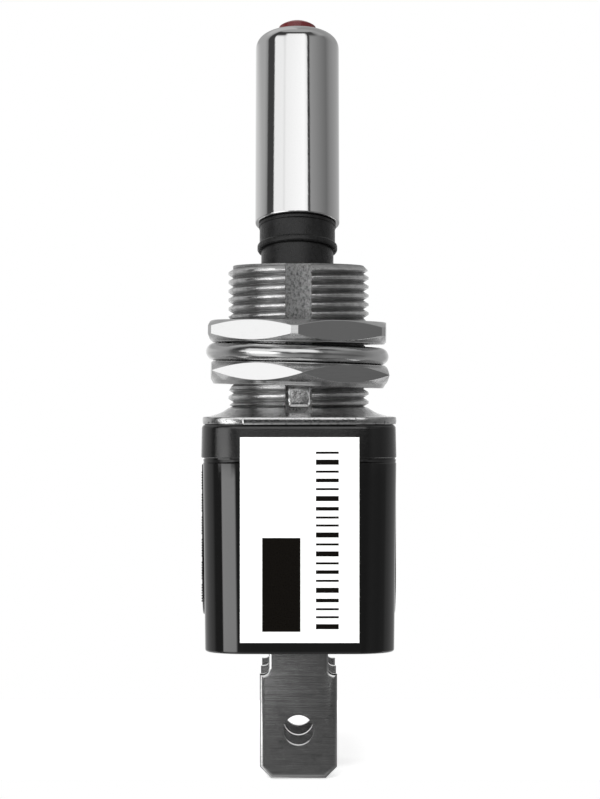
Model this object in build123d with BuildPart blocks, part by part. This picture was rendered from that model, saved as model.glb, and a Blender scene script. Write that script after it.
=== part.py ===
from build123d import *
import math
import os

os.makedirs("parts", exist_ok=True)

# Panel toggle switch with an illuminated tip. Millimetres and degrees throughout.
# The origin is on the bushing's axis, at the top face of its flange. +Z runs up
# the bushing, -Y is the front, and the lever is stored leaning back, towards +Y.

# Driving dimensions: threaded bushing and flange
thread_diameter = 11.9
thread_depth = 0.45
bushing_height = 12.75
swing_clearance = 0.1
mouth_clearance = 0.25
mouth_depth = 1.0
lead_in = 0.45
thread_runout = 0.8
skirt_margin = 0.3
flange_side_inset = 0.05
flange_end_inset = 0.15
flange_corner = 3.4
flange_thickness = 0.6
flange_tab_width = 9.3
spigot_diameter = 10.4
spigot_lip = 0.4
spigot_lip_height = 0.3
keyway_width = 2.2
keyway_depth = 1.0
keyway_foot = 0.3
key_pad_width = 1.8
key_pad_rise = 0.4
key_pad_foot = 0.75

# Driving dimensions: nuts and ring washer on the thread
nut_across_flats = 14.8
nut_clearance = 0.07
lower_nut_bottom = 2.6
lower_nut_height = 1.9
lower_nut_lean = 1.65
lower_nut_turn = 2.4
lower_nut_chamfer = 1.6
ring_gap = 0.12
ring_thickness = 1.4
ring_diameter = 15.25
ring_clearance = 0.2
ring_lean = 1.8
upper_nut_gap = 0.18
upper_nut_height = 1.85
upper_nut_lean = 0.8
upper_nut_turn = -1.4
upper_nut_chamfer = 1.13
nut_chamfer_angle = 30
thread_gap = 0.2
thread_margin = 0.3

# Driving dimensions: lever. Its heights run along its axis, from the pivot.
lever_lean = 14.0
lever_side_play = -0.1
pivot_height = 7.1
pivot_pin_diameter = 1.8
pivot_pin_recess = 0.3
running_clearance = 0.05
neck_diameter = 6.0
upper_neck_diameter = 6.26
bead_diameter = 6.68
bead_above_mouth = 1.6
bead_height = 1.03
collar_above_bead = 0.98
collar_diameter = 6.6
collar_height = 0.3
tail_diameter = 3.9
tail_end = -11.5
tail_shoulder = -3.4
tail_flare = 1.0

# Driving dimensions: plated sleeve over the lever
sleeve_length = 17.41
sleeve_diameter = 7.0
sleeve_wall = 0.4
sleeve_crown = 0.5
sleeve_rounding = 1.8

# Driving dimensions: lamp in the lever's tip and what feeds it
lamp_diameter = 3.2
lamp_stand_out = 1.19
lamp_length = 5.3
lamp_rim_diameter = 3.9
lamp_rim_height = 1.0
lamp_pocket_depth = 1.74
lamp_clearance = 0.05
lead_diameter = 0.5
lead_pitch = 2.54
lead_clearance = 0.08
lead_exit = 2.6
lead_bend = 1.0
anode_lead_length = 5.36
splice_length = 1.5
resistor_gap = 1.0
resistor_length = 3.2
resistor_diameter = 1.5
lamp_chamber_diameter = 3.5
lamp_chamber_gap = 1.3
lead_slot_width = 0.8
lead_slot_height = 1.9
wire_diameter = 0.6
wire_angle = 20.45
wire_bore_clearance = 0.19
wire_above_pivot = 2.2
wire_bend = 4.0

# Driving dimensions: sprung plunger
plunger_diameter = 2.5
plunger_reach = 15.0
plunger_nose_diameter = 2.0
plunger_nose_height = 1.8
plunger_nose_taper = 0.5
plunger_shoulder = -7.0
plunger_spigot_diameter = 1.2
plunger_spigot_height = 1.6
spring_chamber_top = -2.3
spring_diameter = 2.1
spring_wire = 0.3
spring_turns = 6

# Driving dimensions: rocking contact
rocker_lean = 8.0
rocker_thickness = 0.6
rocker_end_clearance = 0.7
rocker_arm_start = 3.85
rocker_arm_bend = 0.45
cheek_length = 3.0
cheek_drop = 1.9
knife_diameter = 0.4
contact_gap = 0.15
contact_diameter = 1.7
contact_height = 0.5
contact_inset = 0.95
contact_rounding = 0.35
rivet_diameter = 0.9
rivet_head_diameter = 1.3
rivet_head_height = 0.15

# Driving dimensions: upper and lower housing
housing_width = 16.1
housing_corner = 3.3
housing_draft = 0.075
housing_end_margin = 2.5
top_housing_height = 2.75
top_housing_roof = 1.0
top_housing_wall = 1.1
top_edge_rounding = 0.8
base_height = 15.95
base_side_inset = 0.075
base_taper = 0.175
base_wall = 1.5
base_floor = 3.0
base_edge_rounding = 0.3
parting_recess = 0.2
parting_height = 0.39
lip_height = 0.8
lip_clearance = 0.05
pad_rise = 0.105
pad_width = 12.0
pad_corner = 4.0
pad_top_margin = 0.55
pad_foot_margin = 2.7
stop_width = 4.0
stop_thickness = 1.0
stop_inset = 0.6
stop_clearance = 0.05

# Driving dimensions: blade terminals, label
tab_width = 6.35
tab_thickness = 0.8
tab_length = 8.55
tab_shoulder_gap = 1.8
tab_tip_corner = 0.93
tab_hole_diameter = 2.5
tab_hole_from_tip = 3.93
tab_bevel = 0.15
tab_neck_inset = 0.74
tab_neck_rounding = 0.5
terminal_pitch = 7.5
terminal_slot_clearance = 0.05
lug_drop = 2.45
supply_head_drop = 3.05
supply_head_width = 3.2
load_arm_width = 4.2
load_bend = 0.4
label_width = 9.72
label_margin = 0.93
label_offset = 0.1
label_thickness = 0.08

# Outer sizes worked out from those, from the thread down to the blades' tips
crest_radius = thread_diameter / 2
pitch_radius = crest_radius - thread_depth / 2
root_radius = crest_radius - thread_depth
keyway_floor = crest_radius - keyway_depth
ring_bore = thread_diameter + 2 * ring_clearance
covered_thread_foot = lower_nut_bottom - thread_margin
ring_bottom = lower_nut_bottom + lower_nut_height + ring_gap
upper_nut_bottom = ring_bottom + ring_thickness + upper_nut_gap
exposed_thread_foot = upper_nut_bottom + upper_nut_height + thread_gap
housing_depth = 2 * (terminal_pitch + housing_end_margin)
flange_width = housing_width - 2 * flange_side_inset
flange_depth = housing_depth - 2 * flange_end_inset
skirt_radius = flange_width / 2 - skirt_margin
flange_foot = -flange_thickness
top_housing_foot = flange_foot - top_housing_height
base_foot = top_housing_foot - base_height
base_top_width = housing_width - 2 * base_side_inset
base_foot_width = base_top_width - 2 * base_taper
pad_face = base_top_width / 2 + pad_rise
tab_shoulder = base_foot - tab_shoulder_gap
tab_tip = tab_shoulder - tab_length
tab_neck_width = tab_width - 2 * tab_neck_inset

# Lever's frame and the heights along it, and the bore that it swings in
lean_sine = math.sin(math.radians(lever_lean))
lean_cosine = math.cos(math.radians(lever_lean))
pivot = Vector(lever_side_play, 0, pivot_height)
lever_plane = Plane(origin=pivot, x_dir=(1, 0, 0), z_dir=(0, lean_sine, lean_cosine))
lever_section = Plane(origin=pivot, x_dir=(1, 0, 0), z_dir=(0, -lean_cosine, lean_sine))
lever_axis = Axis(pivot, lever_plane.z_dir)
bead_foot = bushing_height - pivot_height + bead_above_mouth
bead_top = bead_foot + bead_height
collar_foot = bead_top + collar_above_bead
sleeve_foot = collar_foot + collar_height
sleeve_top = sleeve_foot + sleeve_length
lamp_tip = sleeve_top + lamp_stand_out
lamp_seat = lamp_tip - lamp_length
stem_top = lamp_seat + lamp_pocket_depth
splice_foot = lamp_seat - anode_lead_length
splice_top = splice_foot + splice_length
resistor_top = splice_foot - resistor_gap
lamp_chamber_foot = resistor_top - resistor_length - lamp_chamber_gap
lead_bore_diameter = lead_pitch + lead_diameter + 2 * lead_clearance


def swing_radius(height):
    """How far the neck's front reaches from the bushing's axis at a height, fully leant."""
    return (height - pivot_height) * lean_sine / lean_cosine + neck_diameter / 2 / lean_cosine


bushing_bore = 2 * (swing_radius(bushing_height - mouth_depth) + swing_clearance)
mouth_bore = 2 * (swing_radius(bushing_height) + mouth_clearance)


# Threaded bushing, flange and spigot: one casting. Where the nuts ride it has the
# thread's pitch diameter, elsewhere its crest diameter.
skirt_run = skirt_radius - root_radius
skirt_arc = (skirt_run**2 + thread_runout**2) / (2 * thread_runout)
spigot_foot = flange_foot - top_housing_roof
with BuildPart() as threaded_bushing:
    with BuildSketch(Plane.XZ) as bushing_profile:
        with BuildLine():
            outline = Polyline(
                (skirt_radius, 0),
                (skirt_radius, flange_foot),
                (spigot_diameter / 2, flange_foot),
                (spigot_diameter / 2, spigot_foot - lip_clearance),
                (spigot_diameter / 2 + spigot_lip, spigot_foot - lip_clearance),
                (spigot_diameter / 2 + spigot_lip, spigot_foot - spigot_lip_height),
                (bushing_bore / 2, spigot_foot - spigot_lip_height),
                (bushing_bore / 2, bushing_height - mouth_depth),
                (mouth_bore / 2, bushing_height),
                (crest_radius - lead_in, bushing_height),
                (crest_radius, bushing_height - lead_in),
                (crest_radius, exposed_thread_foot),
                (pitch_radius, exposed_thread_foot),
                (pitch_radius, covered_thread_foot),
                (crest_radius, covered_thread_foot),
                (crest_radius, thread_runout),
                (root_radius, thread_runout),
            )
            RadiusArc(outline @ 1, outline @ 0, -skirt_arc)
        make_face()
    revolve(axis=Axis.Z)
    with BuildSketch(Plane.XY.offset(flange_foot)) as flange_outline:
        RectangleRounded(flange_width, flange_depth, flange_corner)
        Rectangle(flange_tab_width, housing_depth)
        Circle(spigot_diameter / 2, mode=Mode.SUBTRACT)
    extrude(amount=flange_thickness)
    with BuildSketch(Plane.XZ.offset(keyway_floor)) as keyway:
        with Locations((0, keyway_foot)):
            Rectangle(keyway_width, bushing_height, align=(Align.CENTER, Align.MIN))
    extrude(amount=skirt_radius, mode=Mode.SUBTRACT)
    with BuildSketch(Plane.XZ.offset(keyway_floor)) as key_pad:
        with Locations((0, key_pad_foot)):
            Rectangle(key_pad_width, lower_nut_bottom - key_pad_foot, align=(Align.CENTER, Align.MIN))
        fillet(key_pad.vertices().group_by(Axis.Y)[0], key_pad_rise)
    extrude(amount=key_pad_rise)
    with BuildSketch(Plane.YZ) as pin_hole:
        with Locations((0, pivot_height)):
            Circle(pivot_pin_diameter / 2)
    extrude(amount=crest_radius, both=True, mode=Mode.SUBTRACT)
threaded_bushing.part.label = "threaded_bushing"
export_step(threaded_bushing.part, "parts/threaded_bushing.step")


def leaning_plane(height, lean):
    """Plane at a height on the bushing's axis, its right-hand side lowered by the lean."""
    tilt = math.radians(lean)
    return Plane(
        origin=(0, 0, height),
        x_dir=(math.cos(tilt), 0, -math.sin(tilt)),
        z_dir=(math.sin(tilt), 0, math.cos(tilt)),
    )


def hexagon_nut(bottom, height, lean, turn, chamfer_run):
    """Thin panel nut, chamfered on both faces, sitting loosely on the thread."""
    seat = leaning_plane(bottom + height / 2, lean)
    section = Plane(origin=seat.origin, x_dir=seat.x_dir, z_dir=-seat.y_dir)
    corner_radius = nut_across_flats / math.sqrt(3)
    face_radius = corner_radius - chamfer_run
    fall = chamfer_run * math.tan(math.radians(nut_chamfer_angle))
    with BuildPart() as nut:
        with BuildSketch(seat):
            RegularPolygon(nut_across_flats / 2, 6, major_radius=False, rotation=30 + turn)
            Circle(pitch_radius + nut_clearance, mode=Mode.SUBTRACT)
        extrude(amount=height / 2, both=True)
        with BuildSketch(section):
            with BuildLine():
                Polyline(
                    (0, height / 2),
                    (face_radius, height / 2),
                    (corner_radius, height / 2 - fall),
                    (corner_radius, fall - height / 2),
                    (face_radius, -height / 2),
                    (0, -height / 2),
                    close=True,
                )
            make_face()
        revolve(axis=Axis(seat.origin, seat.z_dir), mode=Mode.INTERSECT)
    return nut


# Lower nut, under the ring washer
lower_nut = hexagon_nut(
    lower_nut_bottom, lower_nut_height, lower_nut_lean, lower_nut_turn, lower_nut_chamfer
)
lower_nut.part.label = "lower_nut"
export_step(lower_nut.part, "parts/lower_nut.step")

# Upper nut, the one that clamps the panel
upper_nut = hexagon_nut(
    upper_nut_bottom, upper_nut_height, upper_nut_lean, upper_nut_turn, upper_nut_chamfer
)
upper_nut.part.label = "upper_nut"
export_step(upper_nut.part, "parts/upper_nut.step")

# Ring washer with a full-round rim
ring_seat = leaning_plane(ring_bottom + ring_thickness / 2, ring_lean)
ring_section = Plane(origin=ring_seat.origin, x_dir=ring_seat.x_dir, z_dir=-ring_seat.y_dir)
rim_centre = (ring_diameter - ring_thickness) / 2
with BuildPart() as ring_washer:
    with BuildSketch(ring_section):
        with BuildLine():
            Polyline(
                (rim_centre, ring_thickness / 2),
                (ring_bore / 2, ring_thickness / 2),
                (ring_bore / 2, -ring_thickness / 2),
                (rim_centre, -ring_thickness / 2),
            )
            CenterArc((rim_centre, 0), ring_thickness / 2, -90, 180)
        make_face()
    revolve(axis=Axis(ring_seat.origin, ring_seat.z_dir))
ring_washer.part.label = "ring_washer"
export_step(ring_washer.part, "parts/ring_washer.step")

# Pivot pin, pressed into the bushing's wall under the upper nut
with BuildPart() as pivot_pin:
    with BuildSketch(Plane.YZ) as pin_section:
        with Locations((0, pivot_height)):
            Circle(pivot_pin_diameter / 2)
    extrude(amount=root_radius - pivot_pin_recess, both=True)
pivot_pin.part.label = "pivot_pin"
export_step(pivot_pin.part, "parts/pivot_pin.step")

# Lever stem: moulded bar with a bead and a collar below the sleeve, a chamber for
# the lamp and its leads above the pivot, and the plunger's bore below it
neck_radius = neck_diameter / 2
sleeve_bore = sleeve_diameter / 2 - sleeve_wall
stem_radius = sleeve_bore - running_clearance
lamp_pocket = lamp_rim_diameter / 2 + lamp_clearance
plunger_bore = plunger_diameter / 2 + running_clearance
with BuildPart() as lever_stem:
    with BuildSketch(lever_section) as stem_profile:
        with BuildLine():
            Polyline(
                (plunger_bore, tail_end),
                (tail_diameter / 2, tail_end),
                (tail_diameter / 2, tail_shoulder),
                (neck_radius, tail_shoulder + tail_flare),
                (neck_radius, bead_foot),
                (bead_diameter / 2, bead_foot),
                (bead_diameter / 2, bead_top),
                (upper_neck_diameter / 2, bead_top),
                (upper_neck_diameter / 2, collar_foot),
                (collar_diameter / 2, collar_foot),
                (collar_diameter / 2, sleeve_foot),
                (stem_radius, sleeve_foot),
                (stem_radius, stem_top),
                (lamp_pocket, stem_top),
                (lamp_pocket, lamp_seat),
                (lamp_chamber_diameter / 2, lamp_seat),
                (lamp_chamber_diameter / 2, lamp_chamber_foot),
                (lead_bore_diameter / 2, lamp_chamber_foot),
                (lead_bore_diameter / 2, lead_exit - lead_diameter),
                (0, lead_exit - lead_diameter),
                (0, spring_chamber_top),
                (plunger_bore, spring_chamber_top),
                close=True,
            )
        make_face()
    revolve(axis=lever_axis)
    with BuildSketch(lever_section) as lead_slots:
        with Locations((0, lead_exit - lead_diameter)):
            Rectangle(bead_diameter, lead_slot_height, align=(Align.CENTER, Align.MIN))
    extrude(amount=lead_slot_width / 2, both=True, mode=Mode.SUBTRACT)
    with BuildSketch(Plane.YZ) as stem_pin_hole:
        with Locations((0, pivot_height)):
            Circle(pivot_pin_diameter / 2 + running_clearance)
    extrude(amount=crest_radius, both=True, mode=Mode.SUBTRACT)
lever_stem.part.label = "lever_stem"
export_step(lever_stem.part, "parts/lever_stem.step")

# Plated sleeve: a drawn tube, closed round the lamp by a rounded crown
lamp_hole = lamp_diameter / 2 + lamp_clearance
with BuildPart() as lever_sleeve:
    with BuildSketch(lever_section) as sleeve_profile:
        with BuildLine():
            Polyline(
                (sleeve_bore, sleeve_foot),
                (sleeve_diameter / 2, sleeve_foot),
                (sleeve_diameter / 2, sleeve_top),
                (lamp_hole, sleeve_top),
                (lamp_hole, sleeve_top - sleeve_crown),
                (sleeve_bore, sleeve_top - sleeve_crown),
                close=True,
            )
        make_face()
        outer_corner = sleeve_profile.vertices().group_by(Axis.Y)[-1].sort_by(Axis.X)[-1]
        fillet(outer_corner, sleeve_rounding)
        inner_corner = sleeve_profile.vertices().group_by(Axis.Y)[-2].sort_by(Axis.X)[-1]
        fillet(inner_corner, sleeve_rounding - sleeve_crown)
    revolve(axis=lever_axis)
lever_sleeve.part.label = "lever_sleeve"
export_step(lever_sleeve.part, "parts/lever_sleeve.step")

# Lamp in the tip: a domed lens on a rim that sits on the stem's step
lamp_radius = lamp_diameter / 2
with BuildPart() as led_lamp:
    with BuildSketch(lever_section) as lamp_profile:
        with BuildLine():
            Polyline(
                (0, lamp_seat),
                (lamp_rim_diameter / 2, lamp_seat),
                (lamp_rim_diameter / 2, lamp_seat + lamp_rim_height),
                (lamp_radius, lamp_seat + lamp_rim_height),
                (lamp_radius, lamp_tip - lamp_radius),
            )
            CenterArc((0, lamp_tip - lamp_radius), lamp_radius, 0, 90)
            Line((0, lamp_tip), (0, lamp_seat))
        make_face()
    revolve(axis=lever_axis)
led_lamp.part.label = "led_lamp"
export_step(led_lamp.part, "parts/led_lamp.step")


def add_bent_lead(place, top, side):
    """Round wire down the lever's bore from a given height, bent out through a side slot."""
    with BuildLine(lever_section) as route:
        FilletPolyline(
            (side * place, top),
            (side * place, lead_exit),
            (side * (neck_radius - running_clearance), lead_exit),
            radius=lead_bend,
        )
    with BuildSketch(Plane(origin=route.line @ 0, z_dir=route.line % 0)) as lead_section:
        Circle(lead_diameter / 2)
    sweep(lead_section.sketch, path=route.line)


# Cathode lead: from the lamp down the bore and out on the left
with BuildPart() as led_cathode_lead:
    add_bent_lead(lead_pitch / 2, lamp_seat, -1)
led_cathode_lead.part.label = "led_cathode_lead"
export_step(led_cathode_lead.part, "parts/led_cathode_lead.step")

# Anode lead: a short leg, with the resistor's wire soldered beside it
with BuildPart() as led_anode_lead:
    with BuildSketch(lever_plane.offset(splice_foot)) as anode_section:
        with Locations((lead_pitch / 2, 0)):
            Circle(lead_diameter / 2)
    extrude(amount=anode_lead_length)
led_anode_lead.part.label = "led_anode_lead"
export_step(led_anode_lead.part, "parts/led_anode_lead.step")

# Series resistor: its lower wire leaves the lever on the right
resistor_place = lead_pitch / 2 - lead_diameter
with BuildPart() as led_resistor:
    add_bent_lead(resistor_place, splice_top, 1)
    with BuildSketch(lever_plane.offset(resistor_top - resistor_length)) as resistor_body:
        with Locations((resistor_place, 0)):
            Circle(resistor_diameter / 2)
    extrude(amount=resistor_length)
led_resistor.part.label = "led_resistor"
export_step(led_resistor.part, "parts/led_resistor.step")

# Plunger: slides in the stem's tail and rides on the rocking contact with a round nose
nose_radius = plunger_nose_diameter / 2
nose_centre = plunger_reach - nose_radius
with BuildPart() as plunger:
    with BuildSketch(lever_section) as plunger_profile:
        with BuildLine():
            Polyline(
                (nose_radius, -nose_centre),
                (nose_radius, plunger_nose_height - plunger_reach),
                (plunger_diameter / 2, plunger_nose_height + plunger_nose_taper - plunger_reach),
                (plunger_diameter / 2, plunger_shoulder),
                (plunger_spigot_diameter / 2, plunger_shoulder),
                (plunger_spigot_diameter / 2, plunger_shoulder + plunger_spigot_height),
                (0, plunger_shoulder + plunger_spigot_height),
                (0, -plunger_reach),
            )
            CenterArc((0, -nose_centre), nose_radius, -90, 90)
        make_face()
    revolve(axis=lever_axis)
plunger.part.label = "plunger"
export_step(plunger.part, "parts/plunger.step")

# Compression spring between the plunger's shoulder and the end of its chamber
spring_length = spring_chamber_top - plunger_shoulder - spring_wire
spring_base = lever_plane.offset(plunger_shoulder + spring_wire / 2)
coil_radius = (spring_diameter - spring_wire) / 2
with BuildPart() as plunger_spring:
    with BuildLine() as coil:
        Helix(
            pitch=spring_length / spring_turns,
            height=spring_length,
            radius=coil_radius,
            center=spring_base.origin,
            direction=spring_base.z_dir,
        )
    with BuildSketch(Plane(origin=coil.line @ 0, z_dir=coil.line % 0)):
        Circle(spring_wire / 2)
    sweep(path=coil.line, is_frenet=True)
plunger_spring.part.label = "plunger_spring"
export_step(plunger_spring.part, "parts/plunger_spring.step")

# The rocking contact tips about the supply terminal's knife edge. Its trough is
# the arc that the nose's centre draws in the rocker's own frame, moved out by
# the nose's radius and the clearance.
knife_radius = knife_diameter / 2
trough_foot = pivot_height - plunger_reach - running_clearance
knife_height = trough_foot - rocker_thickness
nose_low = pivot_height - nose_centre - knife_height
nose_side = Vector(-nose_centre * lean_sine, pivot_height - nose_centre * lean_cosine - knife_height)
nose_end = nose_side.rotate(Axis.Z, -rocker_lean)
nose_rise = nose_end.Y - nose_low
nose_arc = (nose_end.X**2 + nose_rise**2) / (2 * nose_rise)
trough_arc = nose_arc + nose_radius + running_clearance
trough_centre = nose_low + nose_arc
arm_fall = math.sqrt(trough_arc**2 - rocker_arm_start**2)
arm_top = trough_centre - arm_fall + rocker_arm_bend
rocker_reach = terminal_pitch - tab_thickness / 2 - rocker_end_clearance
contact_place = rocker_reach - contact_inset
rocker_tilt = math.radians(rocker_lean)
rocker_section = Plane(
    origin=(0, 0, knife_height),
    x_dir=(0, math.cos(rocker_tilt), math.sin(rocker_tilt)),
    z_dir=(1, 0, 0),
)
rocker_plan = Plane(
    origin=(0, 0, knife_height),
    x_dir=(1, 0, 0),
    z_dir=(0, -math.sin(rocker_tilt), math.cos(rocker_tilt)),
)
cheek_gap = supply_head_width / 2 + 2 * running_clearance
contact_seat = arm_top - rocker_thickness
with BuildPart() as rocker_contact:
    with BuildSketch(rocker_section) as rocker_profile:
        with BuildLine():
            left_arm = Polyline(
                (-rocker_reach, arm_top),
                (-rocker_arm_start - rocker_arm_bend, arm_top),
                (-rocker_arm_start, trough_centre - arm_fall),
            )
            trough = ThreePointArc(
                left_arm @ 1,
                (0, trough_centre - trough_arc),
                (rocker_arm_start, trough_centre - arm_fall),
            )
            Polyline(trough @ 1, (rocker_arm_start + rocker_arm_bend, arm_top), (rocker_reach, arm_top))
            offset(amount=rocker_thickness, side=Side.RIGHT)
        make_face()
    extrude(amount=cheek_gap + rocker_thickness / 2, both=True)
    for side in (-1, 1):
        cheek_face = rocker_section.offset(side * (cheek_gap + rocker_thickness / 2))
        with BuildSketch(cheek_face) as cheek:
            with Locations((0, -cheek_drop)):
                Rectangle(cheek_length, cheek_drop + rocker_thickness / 2, align=(Align.CENTER, Align.MIN))
            fillet(cheek.vertices().group_by(Axis.Y)[0], rocker_thickness)
        extrude(amount=rocker_thickness / 2, both=True)
    with BuildSketch(rocker_section) as knife_groove:
        Circle(knife_radius + running_clearance)
    extrude(amount=cheek_gap, both=True, mode=Mode.SUBTRACT)
    with BuildSketch(rocker_plan) as rivet_hole:
        with Locations((0, contact_place)):
            Circle(rivet_diameter / 2)
    extrude(amount=arm_top + rocker_thickness, mode=Mode.SUBTRACT)
rocker_contact.part.label = "rocker_contact"
export_step(rocker_contact.part, "parts/rocker_contact.step")


def contact_rivet(seat, grip):
    """Contact rivet: a domed head on the seat plane, its shank staked beyond the grip."""
    section = Plane(origin=seat.origin, x_dir=seat.x_dir, z_dir=-seat.y_dir)
    with BuildPart() as rivet:
        with BuildSketch(section) as rivet_profile:
            with BuildLine():
                Polyline(
                    (0, contact_height),
                    (contact_diameter / 2, contact_height),
                    (contact_diameter / 2, 0),
                    (rivet_diameter / 2, 0),
                    (rivet_diameter / 2, -grip),
                    (rivet_head_diameter / 2, -grip),
                    (rivet_head_diameter / 2, -grip - rivet_head_height),
                    (0, -grip - rivet_head_height),
                    close=True,
                )
            make_face()
            rim = rivet_profile.vertices().group_by(Axis.Y)[-1].sort_by(Axis.X)[-1]
            fillet(rim, contact_rounding)
        revolve(axis=Axis(seat.origin, seat.z_dir))
    return rivet


# Moving contact, riveted under the rocker's rear arm
moving_seat = Plane(
    origin=rocker_section.from_local_coords((contact_place, contact_seat, 0)),
    x_dir=(1, 0, 0),
    z_dir=-rocker_plan.z_dir,
)
moving_contact = contact_rivet(moving_seat, rocker_thickness)
moving_contact.part.label = "moving_contact"
export_step(moving_contact.part, "parts/moving_contact.step")

# Fixed contact, where the moving one comes down when the rocker tips over
closed_face = Vector(contact_place, contact_seat - contact_height).rotate(Axis.Z, -rocker_lean)
fixed_top = knife_height + closed_face.Y - contact_gap
load_arm_top = fixed_top - contact_height
fixed_seat = Plane(origin=(0, closed_face.X, load_arm_top), x_dir=(1, 0, 0), z_dir=(0, 0, 1))
fixed_contact = contact_rivet(fixed_seat, tab_thickness)
fixed_contact.part.label = "fixed_contact"
export_step(fixed_contact.part, "parts/fixed_contact.step")

floor_top = base_foot + base_floor
lug_top = knife_height - lug_drop
supply_shoulder = knife_height - supply_head_drop


def add_blade(place, blade_top):
    """Blade terminal: tab below the housing, neck through its floor, lug inside it."""
    with BuildSketch(Plane.XZ.offset(-place)) as blade:
        with Locations((0, tab_tip)):
            Rectangle(tab_width, tab_shoulder - tab_tip, align=(Align.CENTER, Align.MIN))
        chamfer(blade.vertices().group_by(Axis.Y)[0], tab_tip_corner)
        with Locations((0, tab_tip + tab_hole_from_tip)):
            Circle(tab_hole_diameter / 2, mode=Mode.SUBTRACT)
        with Locations((0, tab_shoulder)):
            Rectangle(tab_neck_width, floor_top - tab_shoulder, align=(Align.CENTER, Align.MIN))
        neck_corners = blade.vertices().filter_by(
            lambda v: abs(v.Y - tab_shoulder) < 0.01 and abs(v.X) < tab_neck_width / 2 + 0.01
        )
        fillet(neck_corners, tab_neck_rounding)
        with Locations((0, floor_top)):
            Rectangle(tab_width, blade_top - floor_top, align=(Align.CENTER, Align.MIN))
    extrude(blade.sketch, amount=tab_thickness / 2, both=True)


def bevel_tab(terminal):
    """Bevels the tab's long sides and tip on both faces, as stamping and coining leave them."""
    for face in terminal.faces().filter_by(Axis.Y).group_by(SortBy.AREA)[-1]:
        rim = face.edges().filter_by(GeomType.LINE)
        chamfer(rim.filter_by(lambda e: e.center().Z < tab_shoulder - tab_bevel), tab_bevel)


# Ground terminal, at the front, which only feeds the lamp
with BuildPart() as ground_terminal:
    add_blade(-terminal_pitch, lug_top)
    bevel_tab(ground_terminal)
ground_terminal.part.label = "ground_terminal"
export_step(ground_terminal.part, "parts/ground_terminal.step")

# Supply terminal, in the middle: its narrow head ends in the knife edge that carries the rocker
with BuildPart() as supply_terminal:
    add_blade(0, supply_shoulder)
    bevel_tab(supply_terminal)
    with BuildSketch(Plane.YZ) as head_profile:
        with BuildLine():
            head_side = Polyline(
                (-knife_radius, knife_height),
                (-tab_thickness / 2, knife_height - tab_thickness),
                (-tab_thickness / 2, supply_shoulder),
                (tab_thickness / 2, supply_shoulder),
                (tab_thickness / 2, knife_height - tab_thickness),
                (knife_radius, knife_height),
            )
            ThreePointArc(head_side @ 1, (0, knife_height + knife_radius), head_side @ 0)
        make_face()
    extrude(amount=supply_head_width / 2, both=True)
supply_terminal.part.label = "supply_terminal"
export_step(supply_terminal.part, "parts/supply_terminal.step")

# Load terminal, at the rear, bent over to hold the fixed contact under the moving one
load_face = terminal_pitch + tab_thickness / 2
arm_end = closed_face.X - contact_diameter / 2 - tab_bevel
with BuildPart() as load_terminal:
    add_blade(terminal_pitch, lug_top)
    bevel_tab(load_terminal)
    with BuildSketch(Plane.YZ) as arm_profile:
        with BuildLine():
            Polyline(
                (load_face, lug_top),
                (load_face, load_arm_top),
                (arm_end, load_arm_top),
                (arm_end, load_arm_top - tab_thickness),
                (load_face - tab_thickness, load_arm_top - tab_thickness),
                (load_face - tab_thickness, lug_top),
                close=True,
            )
        make_face()
        outer_bend = arm_profile.vertices().group_by(Axis.Y)[-1].sort_by(Axis.X)[-1]
        fillet(outer_bend, load_bend + tab_thickness)
        inner_bend = arm_profile.vertices().filter_by(
            lambda v: abs(v.X - load_face + tab_thickness) < 0.01 and v.Y > lug_top + 0.01
        )
        fillet(inner_bend, load_bend)
    extrude(amount=load_arm_width / 2, both=True)
    with Locations(fixed_seat):
        Hole(rivet_diameter / 2, tab_thickness)
load_terminal.part.label = "load_terminal"
export_step(load_terminal.part, "parts/load_terminal.step")


wire_radius = (bushing_bore - wire_diameter) / 2 - wire_bore_clearance
wire_side = wire_radius * math.cos(math.radians(wire_angle))
wire_offset = wire_radius * math.sin(math.radians(wire_angle))


def lamp_wire(side):
    """Insulated wire from a terminal's lug, up through the bushing, to the lever's side slot."""
    lug_face = side * (terminal_pitch - tab_thickness / 2 - wire_diameter / 2 - running_clearance)
    lug_side = side * (tab_width - wire_diameter) / 2
    wire_start = lug_top - 2 * wire_diameter
    with BuildPart() as wire:
        with BuildLine() as route:
            FilletPolyline(
                (lug_side, lug_face, wire_start),
                (lug_side, lug_face, trough_foot),
                (side * wire_side, side * wire_offset, top_housing_foot),
                (side * wire_side, side * wire_offset, pivot_height + wire_above_pivot),
                radius=wire_bend,
            )
        with BuildSketch(Plane(origin=route.line @ 0, z_dir=route.line % 0)):
            Circle(wire_diameter / 2)
        sweep(path=route.line)
    return wire


# Lamp wire from the ground terminal, on the left
lamp_ground_wire = lamp_wire(-1)
lamp_ground_wire.part.label = "lamp_ground_wire"
export_step(lamp_ground_wire.part, "parts/lamp_ground_wire.step")

# Lamp wire from the load terminal, on the right
lamp_load_wire = lamp_wire(1)
lamp_load_wire.part.label = "lamp_load_wire"
export_step(lamp_load_wire.part, "parts/lamp_load_wire.step")

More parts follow.
